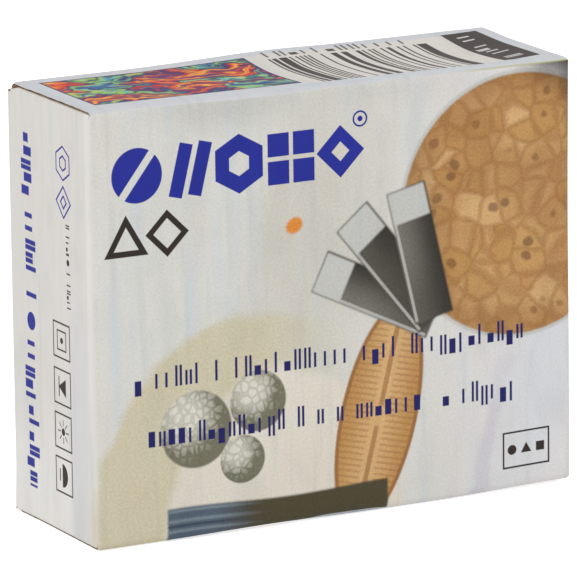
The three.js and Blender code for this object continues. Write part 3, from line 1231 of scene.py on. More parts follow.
class Mottle(Effect):
    """The faint warm and cool patches and upright streaks that print and liner show in white paper."""

    name = "Paper mottle"
    takes = {"Point": "Vector", "Color": "Color"}
    gives = {"Color": "Color"}

    @classmethod
    def build(cls, wiring: Wiring, given: dict) -> dict:
        """Tints the colour a little to pink in some clouds and to grey-blue in others."""
        stretched = wiring.stretched(given["Point"], (1, 0.4, 1))
        warm, cool, _ = wiring.parts(wiring.noise(stretched, 0.17, 4.0, "Color"))
        streaks = wiring.noise(wiring.stretched(given["Point"], (1, 0.06, 1)), 0.55, 3.0)
        pink, grey = (1.0, 0.972, 0.962, 1.0), (0.925, 0.94, 0.945, 1.0)
        colour = wiring.mix(wiring.smooth(warm, 0.42, 0.72), given["Color"], pink, "MULTIPLY")
        cooled = wiring.smooth(wiring.math("MAXIMUM", cool, streaks), 0.5, 0.72)
        return {"Color": wiring.mix(cooled, colour, grey, "MULTIPLY")}


class Washboard(Effect):
    """The faint ridges of the fluting that show through the liner, with slow waves over them."""

    name = "Fluting show-through"
    takes = {"Point": "Vector", "Pitch": "Float"}
    gives = {"Height": "Float"}

    @classmethod
    def build(cls, wiring: Wiring, given: dict) -> dict:
        """Waves the height along the blank's length and lets the ridges come and go."""
        _, y, _ = wiring.parts(given["Point"])
        phase = wiring.times(wiring.math("DIVIDE", y, given["Pitch"]), math.tau)
        ridge = wiring.math("SINE", phase)
        fade = wiring.noise(wiring.stretched(given["Point"], (1, 2, 1)), 0.09, 1.0)
        slow = wiring.noise(wiring.stretched(given["Point"], (1, 1.6, 1)), 0.1, 2.0)
        height = wiring.times(ridge, wiring.times(fade, 0.1))
        return {"Height": wiring.math("MULTIPLY_ADD", slow, 1.6, height)}


class Cells(Effect):
    """A sheet of stained cells, with walls, bodies and dark nuclei."""

    name = "Stained cells"
    takes = {"Point": "Vector", "Scale": "Float"}
    gives = {"Wall": "Float", "Nucleus": "Float", "Shade": "Float"}

    @classmethod
    def build(cls, wiring: Wiring, given: dict) -> dict:
        """Takes the walls from the distance to the cells' edges and the nuclei from their centres."""
        wander = wiring.noise(given["Point"], 0.35, output="Color")
        sway = wiring.vector("MULTIPLY_ADD", wander, (1.6, 1.6, 0), given["Point"])
        edges = wiring.cells(sway, given["Scale"], "DISTANCE_TO_EDGE")
        centres = wiring.cells(sway, given["Scale"])
        wall = wiring.inverted(wiring.smooth(edges["Distance"], 0.02, 0.16))
        nucleus = wiring.inverted(wiring.smooth(centres["Distance"], 0.14, 0.26))
        return {"Wall": wall, "Nucleus": nucleus, "Shade": wiring.parts(centres["Color"])[0]}


# ---------------------------------------------------------------- the print


class Ink(Enum):
    """The colours of the print, with a few tones that are painted light and shade."""

    PAPER = tone(218, 215, 211)
    LID_PAPER = tone(198, 201, 205)
    LABEL_PAPER = tone(210, 206, 200)
    TITLE_BLUE = tone(34, 43, 142)
    NAVY = tone(28, 28, 92)
    BLACK_BROWN = tone(46, 38, 34)
    PALE_GROUND = tone(208, 207, 202)
    COOL_STREAK = tone(200, 205, 206)
    DARK_UNDER_FOLD = tone(176, 176, 170)
    FOOT_SHADE = tone(170, 178, 188)
    CREAM = tone(214, 208, 196)
    DUN = tone(196, 191, 180)
    PAINTED_LIGHT = tone(230, 228, 225)
    LILAC_WHITE = tone(213, 210, 211)
    LILAC = tone(178, 172, 192)
    BLUE_WHITE = tone(198, 207, 216)
    KHAKI = tone(198, 191, 166)
    GRAIN_PALE = tone(212, 210, 198)
    GRAIN_DARK = tone(112, 110, 92)
    SLATE_LIGHT = tone(114, 112, 103)
    SLATE = tone(84, 81, 73)
    SLATE_DARK = tone(50, 47, 42)
    FROSTED = tone(190, 190, 186)
    OCHRE = tone(180, 136, 80)
    AMBER = tone(205, 166, 116)
    RUST = tone(150, 104, 60)
    NUCLEUS = tone(92, 58, 40)
    DARK_BROWN = tone(48, 37, 30)
    STEEL_BLUE = tone(80, 93, 108)
    STEEL_PALE = tone(124, 138, 146)
    STEEL_DARK = tone(48, 56, 70)
    OLIVE = tone(72, 67, 47)
    ORANGE = tone(212, 134, 56)
    GREEN_EDGE = tone(170, 172, 92)


def directions(turn: float) -> tuple[Vector, Vector]:
    """The unit vectors along and across a shape that is turned by degrees."""
    angle = math.radians(turn)
    return Vector((math.cos(angle), math.sin(angle), 0)), Vector((-math.sin(angle), math.cos(angle), 0))


class Printing:
    """Draws the print's shapes in a shader tree, in millimetres on the unfolded blank."""

    def __init__(self, wiring: Wiring, point: Socket) -> None:
        """Draws with the given wiring at the given point."""
        self.wiring = wiring
        self.point = point

    def block(self, x: float, y: float, half_x: float, half_y: float, turn: float = 0.0,
              soft: float = 0.07, at: Value = None) -> Socket:
        """A rectangle.

        Args:
            x: Place of its middle across the blank.
            y: Place of its middle up the blank.
            half_x: Half its length.
            half_y: Half its height.
            turn: Degrees that it is turned by.
            soft: Half the width of its soft edge.
            at: Where it is looked up, if not at the drawing's own point.

        Returns:
            Its mask.
        """
        along, across = directions(turn)
        return InkBlock.place(self.wiring, Point=at or self.point, Centre=(x, y, 0), Along=along,
                              Across=across, HalfX=half_x, HalfY=half_y, Soft=soft)

    def oval(self, x: float, y: float, radius_x: float, radius_y: float, turn: float = 0.0,
             soft: float = 0.02, at: Value = None) -> Socket:
        """An ellipse, turned by degrees."""
        along, across = directions(turn)
        return InkOval.place(self.wiring, Point=at or self.point, Centre=(x, y, 0),
                             Along=along / radius_x, Across=across / radius_y, Soft=soft)

    def polygon(self, x: float, y: float, apothem: float, sides: int, turn: float = 0.0,
                soft: float = 0.07) -> Socket:
        """A regular polygon, turned by degrees."""
        return InkPolygon.place(self.wiring, Point=self.point, Centre=(x, y, 0), Apothem=apothem,
                                Sides=float(sides), Turn=math.radians(turn), Soft=soft)

    def dashes(self, x: float, y: float, length: float, height: float, pitch: float,
               weight: float, seed: float, downwards: bool = False) -> Socket:
        """A line of strokes.

        Args:
            x: Where it starts across the blank.
            y: Where its foot is up the blank.
            length: Its length.
            height: Height of a plain stroke.
            pitch: From one stroke to the next.
            weight: Width of a stroke.
            seed: Picks its strokes.
            downwards: Whether it runs down the box instead of to the right.

        Returns:
            Its mask.
        """
        along, rise = self.turned(x, y, -90.0 if downwards else 0.0)
        return InkDashes.place(self.wiring, X=along, Y=rise, Length=length, Height=height, Pitch=pitch,
                               Weight=weight, Seed=seed)

    def outline(self, shape: Callable[[float], Socket], width: float) -> Socket:
        """The line round a shape.

        Args:
            shape: Draws the shape, grown by a distance.
            width: Width of the line.

        Returns:
            The line's mask.
        """
        return self.wiring.without(shape(width / 2), shape(-width / 2))

    def turned(self, x: float, y: float, turn: float) -> list[Socket]:
        """The point's place along and across an axis that runs through x, y at the given degrees."""
        place = self.wiring.vector("SUBTRACT", self.point, (x, y, 0))
        return [self.wiring.vector("DOT_PRODUCT", place, axis) for axis in directions(turn)]


class PollenGrain(Effect):
    """A round grain under a lens: pale where the light falls, dark at its rim, and dimpled."""

    name = "Pollen grain"
    takes = {"Point": "Vector", "Centre": "Vector", "Radius": "Float"}
    gives = {"Mask": "Float", "Color": "Color"}

    @classmethod
    def build(cls, wiring: Wiring, given: dict) -> dict:
        """Shades a ball by its distance from a lit spot and lays dimples over it."""
        place = wiring.vector("SUBTRACT", given["Point"], given["Centre"])
        away = wiring.math("DIVIDE", wiring.vector("LENGTH", place), given["Radius"])
        scaled = wiring.node("ShaderNodeVectorMath", place, operation="SCALE")
        wiring.feed(scaled.inputs["Scale"], wiring.math("DIVIDE", 1.0, given["Radius"]))
        spot = (-0.3, 0.35, 0.0)
        lit = wiring.vector("DISTANCE", scaled.outputs[0], spot)
        dimples = wiring.cells(given["Point"], 0.75, "DISTANCE_TO_EDGE")
        net = wiring.inverted(wiring.smooth(dimples["Distance"], 0.04, 0.22))
        shade = wiring.smooth(lit, 0.25, 1.3)
        shade = wiring.math("MULTIPLY_ADD", net, 0.3, shade, clamp=True)
        colour = wiring.mix(shade, Ink.GRAIN_PALE, Ink.GRAIN_DARK)
        return {"Mask": wiring.inverted(wiring.smooth(away, 0.95, 1.03)), "Color": colour}


class FrontPicture(Effect):
    """A generic lens picture: stained tissue, pollen grains, a long alga and a fan of slides."""

    name = "Front picture"
    takes = {"Point": "Vector"}
    gives = {"Color": "Color"}

    @classmethod
    def build(cls, wiring: Wiring, given: dict) -> dict:
        """Lays the picture's fields over each other from back to front."""
        point = given["Point"]
        wander = wiring.noise(point, 0.12, output="Color")
        sway = wiring.vector("SUBTRACT", wander, (0.5, 0.5, 0.5))
        drifting = wiring.vector("MULTIPLY_ADD", sway, (5, 5, 0), point)
        colour = wiring.paint(cls.ground(wiring, point), cls.backdrop(wiring, drifting))
        colour = wiring.paint(colour, cls.tissue(wiring, point, drifting))
        for drawn in (cls.grains, cls.alga, cls.slides, cls.bench):
            colour = wiring.paint(colour, drawn(wiring, point))
        blue = wiring.node("ShaderNodeSeparateColor", colour).outputs["Blue"]
        grain = wiring.minus(wiring.noise(point, 2.6, 1.0), 0.5)
        grain = wiring.times(grain, wiring.math("MULTIPLY_ADD", blue, -0.55, 0.55))
        return {"Color": wiring.shaded(colour, wiring.math("ADD", grain, 1.0))}

    @staticmethod
    def ground(wiring: Wiring, point: Value) -> Socket:
        """The pale ground with its cool upright streaks."""
        x = wiring.parts(point)[0]
        streaks = wiring.noise(wiring.stretched(point, (1, 0.07, 1)), 0.24, 2.0)
        ground = wiring.mix(wiring.smooth(streaks, 0.5, 0.66), Ink.PALE_GROUND, Ink.COOL_STREAK)
        draw = Printing(wiring, point)
        # Two darker patches just under the top fold.
        dark_under_fold = wiring.times(draw.oval(-19.5, 68.4, 8.5, 3.8, 0, 0.8), 0.35)
        dark_under_fold = wiring.math("MULTIPLY_ADD", draw.oval(-6.0, 68.4, 24.0, 3.6, 0, 0.8), 0.2, dark_under_fold)
        ground = wiring.mix(dark_under_fold, ground, Ink.DARK_UNDER_FOLD)
        return wiring.mix(wiring.smooth(x, 8.0, 40.0), ground, Ink.LILAC_WHITE)

    @staticmethod
    def backdrop(wiring: Wiring, drifting: Value) -> list[tuple[Value, Value]]:
        """Soft forms out of focus behind the rest."""
        draw = Printing(wiring, drifting)
        far = wiring.times(draw.oval(-4, 45, 11, 21, -8, 0.5), 0.65)
        arch = wiring.smooth(wiring.parts(drifting)[0], 4.0, -16.0)
        return [
            (far, Ink.DUN),
            (wiring.times(draw.oval(-12, -3, 31, 38, 12, 0.03), arch), Ink.KHAKI),
            (draw.oval(-9, -5, 21, 31, 6, 0.05), Ink.CREAM),
            (wiring.times(draw.oval(37, 20, 7, 22, -20, 0.4), 0.35), Ink.BLUE_WHITE),
            (wiring.times(draw.oval(25, 2, 1.5, 18, -14, 0.6), 0.4), Ink.LILAC),
        ]

    @staticmethod
    def grains(wiring: Wiring, point: Value) -> list[tuple[Value, Value]]:
        """Three pollen grains that overlap."""
        layers = []
        for x, y, radius in ((-14.2, 20.6, 4.9), (-25.0, 17.4, 6.2), (-17.0, 11.6, 3.9)):
            grain = PollenGrain.placed(wiring, Point=point, Centre=(x, y, 0), Radius=radius)
            layers.append((grain["Mask"], grain["Color"]))
        return layers

    @staticmethod
    def tissue(wiring: Wiring, point: Value, drifting: Value) -> list[tuple[Value, Value]]:
        """A round field of stained tissue, darker at its rim, with a deep brown corner."""
        draw = Printing(wiring, point)
        lens = (32.5, 46.5)
        cells = Cells.placed(wiring, Point=point, Scale=0.24)
        warm = wiring.mix(cells["Shade"], Ink.OCHRE, Ink.AMBER)
        warm = wiring.mix(wiring.times(cells["Wall"], 0.5), warm, Ink.RUST)
        warm = wiring.mix(wiring.times(cells["Nucleus"], 0.62), warm, Ink.NUCLEUS)
        clouds = wiring.smooth(wiring.noise(drifting, 0.09, 2.0), 0.44, 0.66)
        warm = wiring.mix(wiring.times(clouds, 0.5), warm, Ink.RUST)
        away = wiring.vector("DISTANCE", wiring.stretched(point, (1, 1, 0)), (*lens, 0))
        warm = wiring.mix(wiring.times(wiring.smooth(away, 13.0, 22.5), 0.6), warm, Ink.RUST)
        corner = Printing(wiring, drifting).oval(49, 75, 20, 12.5, -24, 0.3)
        strand = Printing(wiring, drifting).oval(46, 46, 4.0, 26, 6, 0.35)
        return [
            (draw.oval(*lens, 21.6, 21.6, 0, 0.012), Ink.FROSTED),
            (draw.oval(*lens, 21.0, 21.0, 0, 0.012), warm),
            (corner, Ink.DARK_BROWN),
            (wiring.times(strand, 0.4), Ink.DARK_BROWN),
        ]

    @staticmethod
    def alga(wiring: Wiring, point: Value) -> list[tuple[Value, Value]]:
        """A long amber shell with a line down its middle and fine ribs across."""
        draw = Printing(wiring, point)
        middle, lean = (7.0, 15.5), 76.0
        along, across = draw.turned(*middle, lean)
        across = wiring.math("ABSOLUTE", across)
        ribs = wiring.math("SINE", wiring.times(along, math.tau / 0.95))
        ribs = wiring.times(wiring.smooth(ribs, -0.2, 0.8), wiring.smooth(across, 0.9, 1.6))
        body = wiring.mix(wiring.smooth(across, 0.5, 6.0), Ink.AMBER, Ink.OCHRE)
        body = wiring.mix(wiring.times(ribs, 0.4), body, Ink.RUST)
        spine = wiring.inverted(wiring.smooth(across, 0.25, 0.6))
        body = wiring.mix(wiring.times(spine, 0.7), body, Ink.RUST)
        knot = draw.oval(*middle, 1.7, 1.2, lean, 0.15)
        body = wiring.mix(wiring.times(knot, 0.85), body, Ink.AMBER)
        return [
            (draw.oval(*middle, 18.0, 6.9, lean, 0.03), Ink.RUST),
            (draw.oval(*middle, 17.2, 6.2, lean, 0.03), body),
        ]

    @staticmethod
    def slides(wiring: Wiring, point: Value) -> list[tuple[Value, Value]]:
        """Three dark slides fanned out, each with a frosted end and a lit edge."""
        draw = Printing(wiring, point)
        layers = []
        pivot_x, pivot_y, half = 17.0, 30.0, 3.5
        fan = ((154, 22.5, Ink.SLATE_LIGHT), (129, 23.0, Ink.SLATE), (103, 22.0, Ink.SLATE_LIGHT))
        for turn, reach, shade in fan:
            angle = math.radians(turn)

            def spot(along: float, angle: float = angle) -> tuple[float, float]:
                """A place on the slide's middle line."""
                return pivot_x + along * math.cos(angle), pivot_y + along * math.sin(angle)

            along, across = draw.turned(pivot_x, pivot_y, turn)
            fall = wiring.smooth(across, -half, half)
            glass = wiring.mix(fall, Ink.SLATE_DARK, shade)
            glass = wiring.mix(wiring.times(wiring.smooth(along, 13.0, 2.0), 0.5), glass,
                               Ink.SLATE_DARK)
            layers.append((draw.block(*spot(reach / 2), reach / 2, half, turn, 0.3), glass))
            layers.append((draw.block(*spot(reach - 2.8), 2.6, half - 0.3, turn, 0.3), Ink.FROSTED))
            lit = wiring.smooth(wiring.apart(across, half - 0.45), 0.4, 0.1)
            lit = wiring.times(lit, draw.block(*spot(reach / 2), reach / 2 - 0.4, half, turn, 0.3))
            layers.append((wiring.times(lit, 0.7), Ink.FROSTED))
        return layers

    @staticmethod
    def bench(wiring: Wiring, point: Value) -> list[tuple[Value, Value]]:
        """A wavy band of layers along the foot, steel blue turning olive, and one orange drop."""
        draw = Printing(wiring, point)
        x, y, _ = wiring.parts(point)
        wave = wiring.math("SINE", wiring.times(x, 0.17))
        deep = wiring.minus(wiring.math("MULTIPLY_ADD", wave, 0.35, 4.9), y)
        band = wiring.times(wiring.smooth(deep, -0.3, 0.3), wiring.smooth(x, -30.4, -29.8))
        band = wiring.without(band, wiring.smooth(x, 8.2, 8.8))
        steel = wiring.mix(wiring.smooth(x, -23.0, -14.0), Ink.STEEL_BLUE, Ink.OLIVE)
        layers = [(band, steel)]
        lines = ((0.5, 0.45, Ink.STEEL_PALE), (2.1, 0.5, Ink.STEEL_PALE), (2.9, 0.32, Ink.STEEL_DARK),
                 (3.7, 0.45, Ink.STEEL_PALE))
        faded = wiring.times(band, wiring.smooth(x, -12.0, -22.0))
        for level, width, shade in lines:
            aside = wiring.apart(deep, level)
            line = wiring.smooth(aside, width, 0.1 * width)
            layers.append((wiring.times(line, faded, 0.7), shade))
        layers.append((draw.oval(-7.5, 47.6, 1.5, 1.2, 30, 0.25), Ink.ORANGE))
        return layers


class FrontInks(Effect):
    """The solid inks over the front picture: plain signs, lines of strokes and a frame."""

    name = "Front inks"
    takes = {"Point": "Vector"}
    gives = {"Blue": "Float", "Navy": "Float", "Black": "Float"}

    @classmethod
    def build(cls, wiring: Wiring, given: dict) -> dict:
        """Draws the row of large signs, the small marks, two lines of strokes and a frame."""
        draw = Printing(wiring, given["Point"])
        middle = 58.4
        disc = wiring.without(draw.oval(-34.4, middle, 4.3, 4.3), draw.block(-34.4, middle, 6.0, 0.6, 52))
        bars = [draw.block(-26.9 + 3.3 * i, middle, 1.15, 4.25, -14) for i in (0, 1)]
        nut = [draw.polygon(-16.9, middle, apothem, 6, 30) for apothem in (4.1, 1.7)]
        corners = [(across, up) for across in (-2.2, 2.2) for up in (-2.2, 2.2)]
        tiles = [draw.block(-7.9 + across, middle + up, 1.85, 1.85) for across, up in corners]
        gem = [draw.block(0.7, middle, half, half, 45) for half in (2.95, 1.1)]
        mark = draw.outline(lambda grow: draw.oval(4.2, 63.2, 1.15 + grow, 1.15 + grow, soft=0.06), 0.3)
        dot = draw.oval(4.2, 63.2, 0.45, 0.45, soft=0.15)
        first = draw.dashes(-35.6, 24.7, 69.0, 2.35, 1.72, 0.42, 11.0)
        second = draw.dashes(-33.4, 15.5, 64.6, 2.35, 1.72, 0.42, 83.0)
        black = [
            draw.outline(lambda grow: draw.polygon(-36.4, 48.1, 1.7 + grow, 3, 90), 0.95),
            draw.outline(lambda grow: draw.block(-29.4, 48.9, 2.15 + grow, 2.15 + grow, 45), 0.95),
            draw.outline(lambda grow: draw.block(33.45, 6.5, 4.1 + grow, 2.85 + grow), 0.3),
            draw.oval(30.9, 6.5, 0.8, 0.8, soft=0.08),
            draw.polygon(33.45, 6.35, 0.55, 3, 90),
            draw.block(36.0, 6.5, 0.75, 0.75),
        ]
        holed = (wiring.without(*nut), wiring.without(*gem))
        return {
            "Blue": wiring.either(disc, *bars, *tiles, *holed, mark, dot),
            "Navy": wiring.either(first, second),
            "Black": wiring.either(*black),
        }


class EndInks(Effect):
    """The inks of the left end panel: a column of strokes, outlined signs and framed shapes."""

    name = "End panel inks"
    takes = {"Point": "Vector"}
    gives = {"Blue": "Float", "Black": "Float"}

    @classmethod
    def build(cls, wiring: Wiring, given: dict) -> dict:
        """Draws the end panel's print, which reads from top to bottom."""
        draw = Printing(wiring, given["Point"])
        blue = [
            draw.dashes(-65.5, 62.0, 26.6, 2.6, 2.1, 0.78, 7.0, downwards=True),
            draw.dashes(-65.5, 29.0, 23.7, 2.6, 2.1, 0.78, 40.0, downwards=True),
            draw.oval(-63.9, 32.0, 1.45, 1.45, soft=0.05),
            draw.outline(lambda grow: draw.polygon(-51.5, 59.3, 2.3 + grow, 6, 30), 0.3),
            draw.outline(lambda grow: draw.polygon(-51.5, 59.3, 1.0 + grow, 6, 30), 0.3),
            draw.outline(lambda grow: draw.block(-51.5, 53.2, 1.75 + grow, 1.75 + grow, 45), 0.32),
            draw.outline(lambda grow: draw.block(-51.5, 53.2, 0.7 + grow, 0.7 + grow, 45), 0.32),
        ]
        centres = (31.05, 23.65, 16.55, 9.5)
        across = -53.15
        black = [
            draw.dashes(-50.9, 50.0, 5.0, 0.95, 0.9, 0.24, 3.0, downwards=True),
            draw.dashes(-50.9, 42.4, 5.9, 0.95, 0.9, 0.24, 19.0, downwards=True),
            draw.oval(-50.3, 43.9, 0.5, 0.5, soft=0.1),
        ]
        for up in centres:
            black.append(draw.outline(
                lambda grow, up=up: draw.block(across, up, 2.85 + grow, 2.75 + grow, 0, 0.06), 0.28))
        ray = [draw.block(across, centres[2], 1.9, 0.1, turn) for turn in (0, 45, 90, 135)]
        black += [
            draw.outline(lambda grow: draw.polygon(across, centres[0], 1.5 + grow, 4, 45), 0.26),
            draw.oval(across, centres[0], 0.5, 0.5, soft=0.12),
            draw.polygon(across + 0.35, centres[1], 0.85, 3, 60),
            draw.block(across - 1.2, centres[1], 0.16, 1.6),
            wiring.without(wiring.either(*ray), draw.oval(across, centres[2], 0.9, 0.9)),
            draw.oval(across, centres[2], 0.6, 0.6, soft=0.1),
            wiring.times(draw.oval(across - 0.6, centres[3], 1.9, 1.9),
                        draw.block(across + 0.4, centres[3], 1.0, 2.2)),
            draw.block(across - 1.4, centres[3], 0.16, 1.0),
        ]
        return {"Blue": wiring.either(*blue), "Black": wiring.either(*black)}


class Marbling(Effect):
    """Flowing bands of strong colour with dark lines drawn along the flow."""

    name = "Marbling"
    takes = {"Point": "Vector"}
    gives = {"Color": "Color"}

    @classmethod
    def build(cls, wiring: Wiring, given: dict) -> dict:
        """Turns warped noise into bands and pulls fine dark and light threads out along them."""
        warp = wiring.noise(given["Point"], 0.13, output="Color")
        bent = wiring.vector("SUBTRACT", warp, (0.5, 0.5, 0.5))
        bent = wiring.vector("MULTIPLY_ADD", bent, (22, 14, 0), given["Point"])
        flow = wiring.noise(wiring.stretched(bent, (0.55, 1, 1)), 0.15, 2.5)
        bands = (
            (0.31, (40, 42, 104)), (0.37, (52, 104, 156)), (0.41, (104, 180, 166)),
            (0.445, (156, 188, 74)), (0.475, (56, 118, 120)), (0.50, (48, 40, 102)),
            (0.525, (176, 38, 42)), (0.57, (220, 92, 40)), (0.605, (232, 170, 66)),
            (0.64, (186, 46, 44)), (0.69, (56, 46, 110)),
        )
        ramp = wiring.node("ShaderNodeValToRGB", flow)
        elements = ramp.color_ramp.elements
        for i, (position, colour) in enumerate(bands):
            element = elements[i] if i < 2 else elements.new(position)
            element.position = position
            element.color = tone(*colour)
        threads = wiring.noise(wiring.stretched(bent, (0.22, 1, 1)), 0.9, 3.0)
        dark = wiring.times(wiring.smooth(threads, 0.49, 0.6), 0.85)
        light = wiring.times(wiring.smooth(threads, 0.42, 0.32), 0.45)
        colour = wiring.mix(dark, ramp.outputs[0], tone(52, 40, 92))
        return {"Color": wiring.mix(light, colour, tone(240, 190, 96))}


class LidPrint(Effect):
    """The lid's print: a marbled field, a run of bars and a dark label."""

    name = "Lid print"
    takes = {"Point": "Vector", "Paper": "Color"}
    gives = {"Color": "Color"}

    @classmethod
    def build(cls, wiring: Wiring, given: dict) -> dict:
        """Draws the field, the bars and the label on the paper."""
        point = given["Point"]
        draw = Printing(wiring, point)
        x = wiring.parts(point)[0]
        middle = 83.8
        field = draw.block(-20.95, middle - 0.45, 17.85, 9.95)
        inner = draw.block(-20.95, middle - 0.45, 17.5, 9.6, 0, 0.2)
        cells = wiring.math("FLOOR", wiring.times(x, 2.7))
        bar = wiring.math("GREATER_THAN", wiring.chance(cells)[0], 0.52)
        bar = wiring.times(bar, draw.block(14.0, 81.5, 14.4, 9.6))
        strokes = draw.dashes(0.0, 92.0, 28.4, 1.9, 2.2, 0.4, 21.0)
        label = draw.block(35.8, middle - 0.3, 3.2, 10.5)
        signs = draw.dashes(34.4, 92.2, 17.4, 2.1, 1.9, 0.55, 31.0, downwards=True)
        layers = [
            (draw.block(14.6, middle - 0.9, 18.4, 10.7, 0, 0.35), Ink.LABEL_PAPER),
            (field, Ink.NAVY),
            (inner, Marbling.place(wiring, Point=point)),
            (bar, tone(62, 57, 55)),
            (strokes, tone(74, 70, 68)),
            (label, tone(60, 53, 50)),
            (signs, tone(196, 192, 190)),
        ]
        return {"Color": wiring.paint(given["Paper"], layers)}


# ---------------------------------------------------------------- finishes


def fresh_material(name: str) -> tuple[bpy.types.Material, Wiring, bpy.types.Node]:
    """Makes a material with one Principled shader and returns it with its wiring."""
    material = bpy.data.materials.new(name)
    material.use_nodes = True
    shader = material.node_tree.nodes["Principled BSDF"]
    return material, Wiring(material.node_tree), shader


class BlankPlace(Effect):
    """The place on the unfolded blank, in millimetres."""

    name = "Place on the blank"
    takes = {"Flat": "Vector"}
    gives = {"Point": "Vector"}

    @classmethod
    def build(cls, wiring: Wiring, given: dict) -> dict:
        """Scales metres to millimetres and drops the height."""
        return {"Point": wiring.stretched(given["Flat"], (1 / MM, 1 / MM, 0.0))}


def blank_point(wiring: Wiring) -> Socket:
    """Reads the place on the blank that each board piece carries."""
    flat = wiring.node("ShaderNodeAttribute", attribute_name="flat").outputs["Vector"]
    return BlankPlace.place(wiring, Flat=flat)


@dataclass(frozen=True)
class PrintedLiner:
    """White-topped liner with print and a satin varnish, with painted highlight, light and shade on the
    walls.
    """

    name: str
    with_walls: bool
    with_lid: bool
    roughness: float = 0.6
    gloss: float = 0.16
    washboard: float = 0.05 * MM

    def make(self) -> bpy.types.Material:
        """Makes the material."""
        material, wiring, shader = fresh_material(self.name)
        point = blank_point(wiring)
        fibres = Fibres.placed(wiring, Point=point, Cloud=0.09, Tooth=0.05)
        colour = Ink.PAPER
        if self.with_walls:
            colour = self.walls_print(wiring, point, colour)
        if self.with_lid:
            colour = LidPrint.place(wiring, Point=point, Paper=Ink.LID_PAPER)
        colour = Mottle.place(wiring, Point=point, Color=colour)
        wiring.feed(shader.inputs["Base Color"], wiring.shaded(colour, fibres["Shade"]))
        tooth = wiring.math("MULTIPLY_ADD", fibres["Height"], 0.14, self.roughness - 0.07)
        wiring.feed(shader.inputs["Roughness"], tooth)
        wiring.feed(shader.inputs["Specular IOR Level"], self.gloss)
        ridges = Washboard.place(wiring, Point=point, Pitch=3.2)
        height = wiring.math("MULTIPLY_ADD", fibres["Height"], 0.05, ridges)
        wiring.feed(shader.inputs["Normal"], wiring.bump(height, self.washboard))
        return material

    @staticmethod
    def walls_print(wiring: Wiring, point: Value, paper: Value) -> Socket:
        """Draws the print of the front, of the fold above it and of the left end panel.

        Args:
            wiring: The material's wiring.
            point: The place on the blank.
            paper: The colour of the bare paper.

        Returns:
            The colour of the print and the paper, with painted highlight, light and shade laid in.
        """
        x, y, _ = wiring.parts(point)
        picture_top, right_side = 68.7, 42.5
        short = wiring.smooth(wiring.apart(x, 2.0), 13.0, 3.0)
        foot = wiring.minus(y, wiring.math("MULTIPLY_ADD", short, 1.3, -0.75))
        within = wiring.times(wiring.smooth(foot, -0.1, 0.1),
                             wiring.smooth(x, right_side + 0.15, right_side - 0.15))
        # Painted shade: a bluish-grey strip on the bottom fold under the middle of the front.
        under = wiring.times(wiring.smooth(foot, 0.1, -0.1), wiring.smooth(y, -2.4, -1.6), short)
        low = wiring.times(wiring.smooth(y, 44.0, 22.0), within)
        cool = wiring.times(wiring.smooth(x, -50.9, -50.2), wiring.smooth(x, -44.3, -45.1))
        cool = wiring.times(cool, low, 0.28)
        # Painted light: the left end panel made lighter towards the floor.
        foot_light_mask = wiring.times(wiring.smooth(y, 24.0, 5.0), wiring.smooth(x, -49.6, -51.6))
        fringe = wiring.times(wiring.smooth(x, -44.4, -43.2), wiring.smooth(y, 13.0, 4.0))
        # Painted highlight: a pale band along the front-left fold, fading out towards the foot.
        fold = wiring.smooth(wiring.math("ABSOLUTE", wiring.math("ADD", x, 43.1)), 1.1, 0.2)
        fold = wiring.times(fold, wiring.smooth(y, 14.0, 28.0), 0.55)
        on_front = wiring.times(wiring.smooth(x, -42.4, -41.4), within)
        above = wiring.times(on_front, wiring.smooth(y, picture_top - 0.1, picture_top + 0.1))
        below = wiring.without(on_front, above)
        rim = wiring.smooth(wiring.apart(y, picture_top), 0.26, 0.12)
        rim = wiring.times(rim, on_front, wiring.smooth(x, 20.0, 28.0))
        front = FrontInks.placed(wiring, Point=point)
        end = EndInks.placed(wiring, Point=point)
        blue = wiring.either(front["Blue"], end["Blue"])
        black = wiring.either(front["Black"], end["Black"])
        layers = [
            (under, Ink.FOOT_SHADE),
            (wiring.times(foot_light_mask, 0.8), Ink.PAINTED_LIGHT),
            (cool, Ink.BLUE_WHITE),
            (wiring.times(fringe, within), Ink.CREAM),
            (below, FrontPicture.place(wiring, Point=point)),
            (fold, Ink.PAINTED_LIGHT),
            (above, Ink.LID_PAPER),
            (wiring.times(rim, 0.5), Ink.GREEN_EDGE),
            (blue, Ink.TITLE_BLUE),
            (front["Navy"], Ink.NAVY),
            (black, Ink.BLACK_BROWN),
        ]
        return wiring.paint(paper, layers)


@dataclass(frozen=True)
class KraftPaper:
    """Plain brown paper, as the board's inner liner, wavy sheet and cut edges show it, with painted shade
    of flute hollows where gaps is set.
    """

    name: str
    light: tuple[int, int, int] = (178, 148, 113)
    dark: tuple[int, int, int] = (156, 125, 92)
    gaps: float = 0.0

    def make(self) -> bpy.types.Material:
        """Makes the material."""
        material, wiring, shader = fresh_material(self.name)
        coordinates = wiring.node("ShaderNodeTexCoord").outputs["Object"]
        point = wiring.stretched(coordinates, (1 / MM, 1 / MM, 1 / MM))
        fibres = Fibres.placed(wiring, Point=point, Cloud=0.2, Tooth=0.3)
        flecks = wiring.noise(wiring.stretched(point, (1, 0.3, 0.3)), 3.0, 2.0)
        colour = wiring.mix(wiring.smooth(flecks, 0.4, 0.66), tone(*self.light), tone(*self.dark))
        # Painted shade: dark patches that stand for the shade in the flute hollows of cut edges.
        hollow_shade = wiring.smooth(wiring.noise(point, 0.55, 2.0), 0.46, 0.6)
        colour = wiring.mix(wiring.times(hollow_shade, self.gaps), colour, tone(58, 44, 34))
        wiring.feed(shader.inputs["Base Color"], wiring.shaded(colour, fibres["Shade"]))
        wiring.feed(shader.inputs["Roughness"], wiring.math("MULTIPLY_ADD", flecks, 0.12, 0.78))
        wiring.feed(shader.inputs["Normal"], wiring.bump(fibres["Height"], 0.03 * MM))
        return material


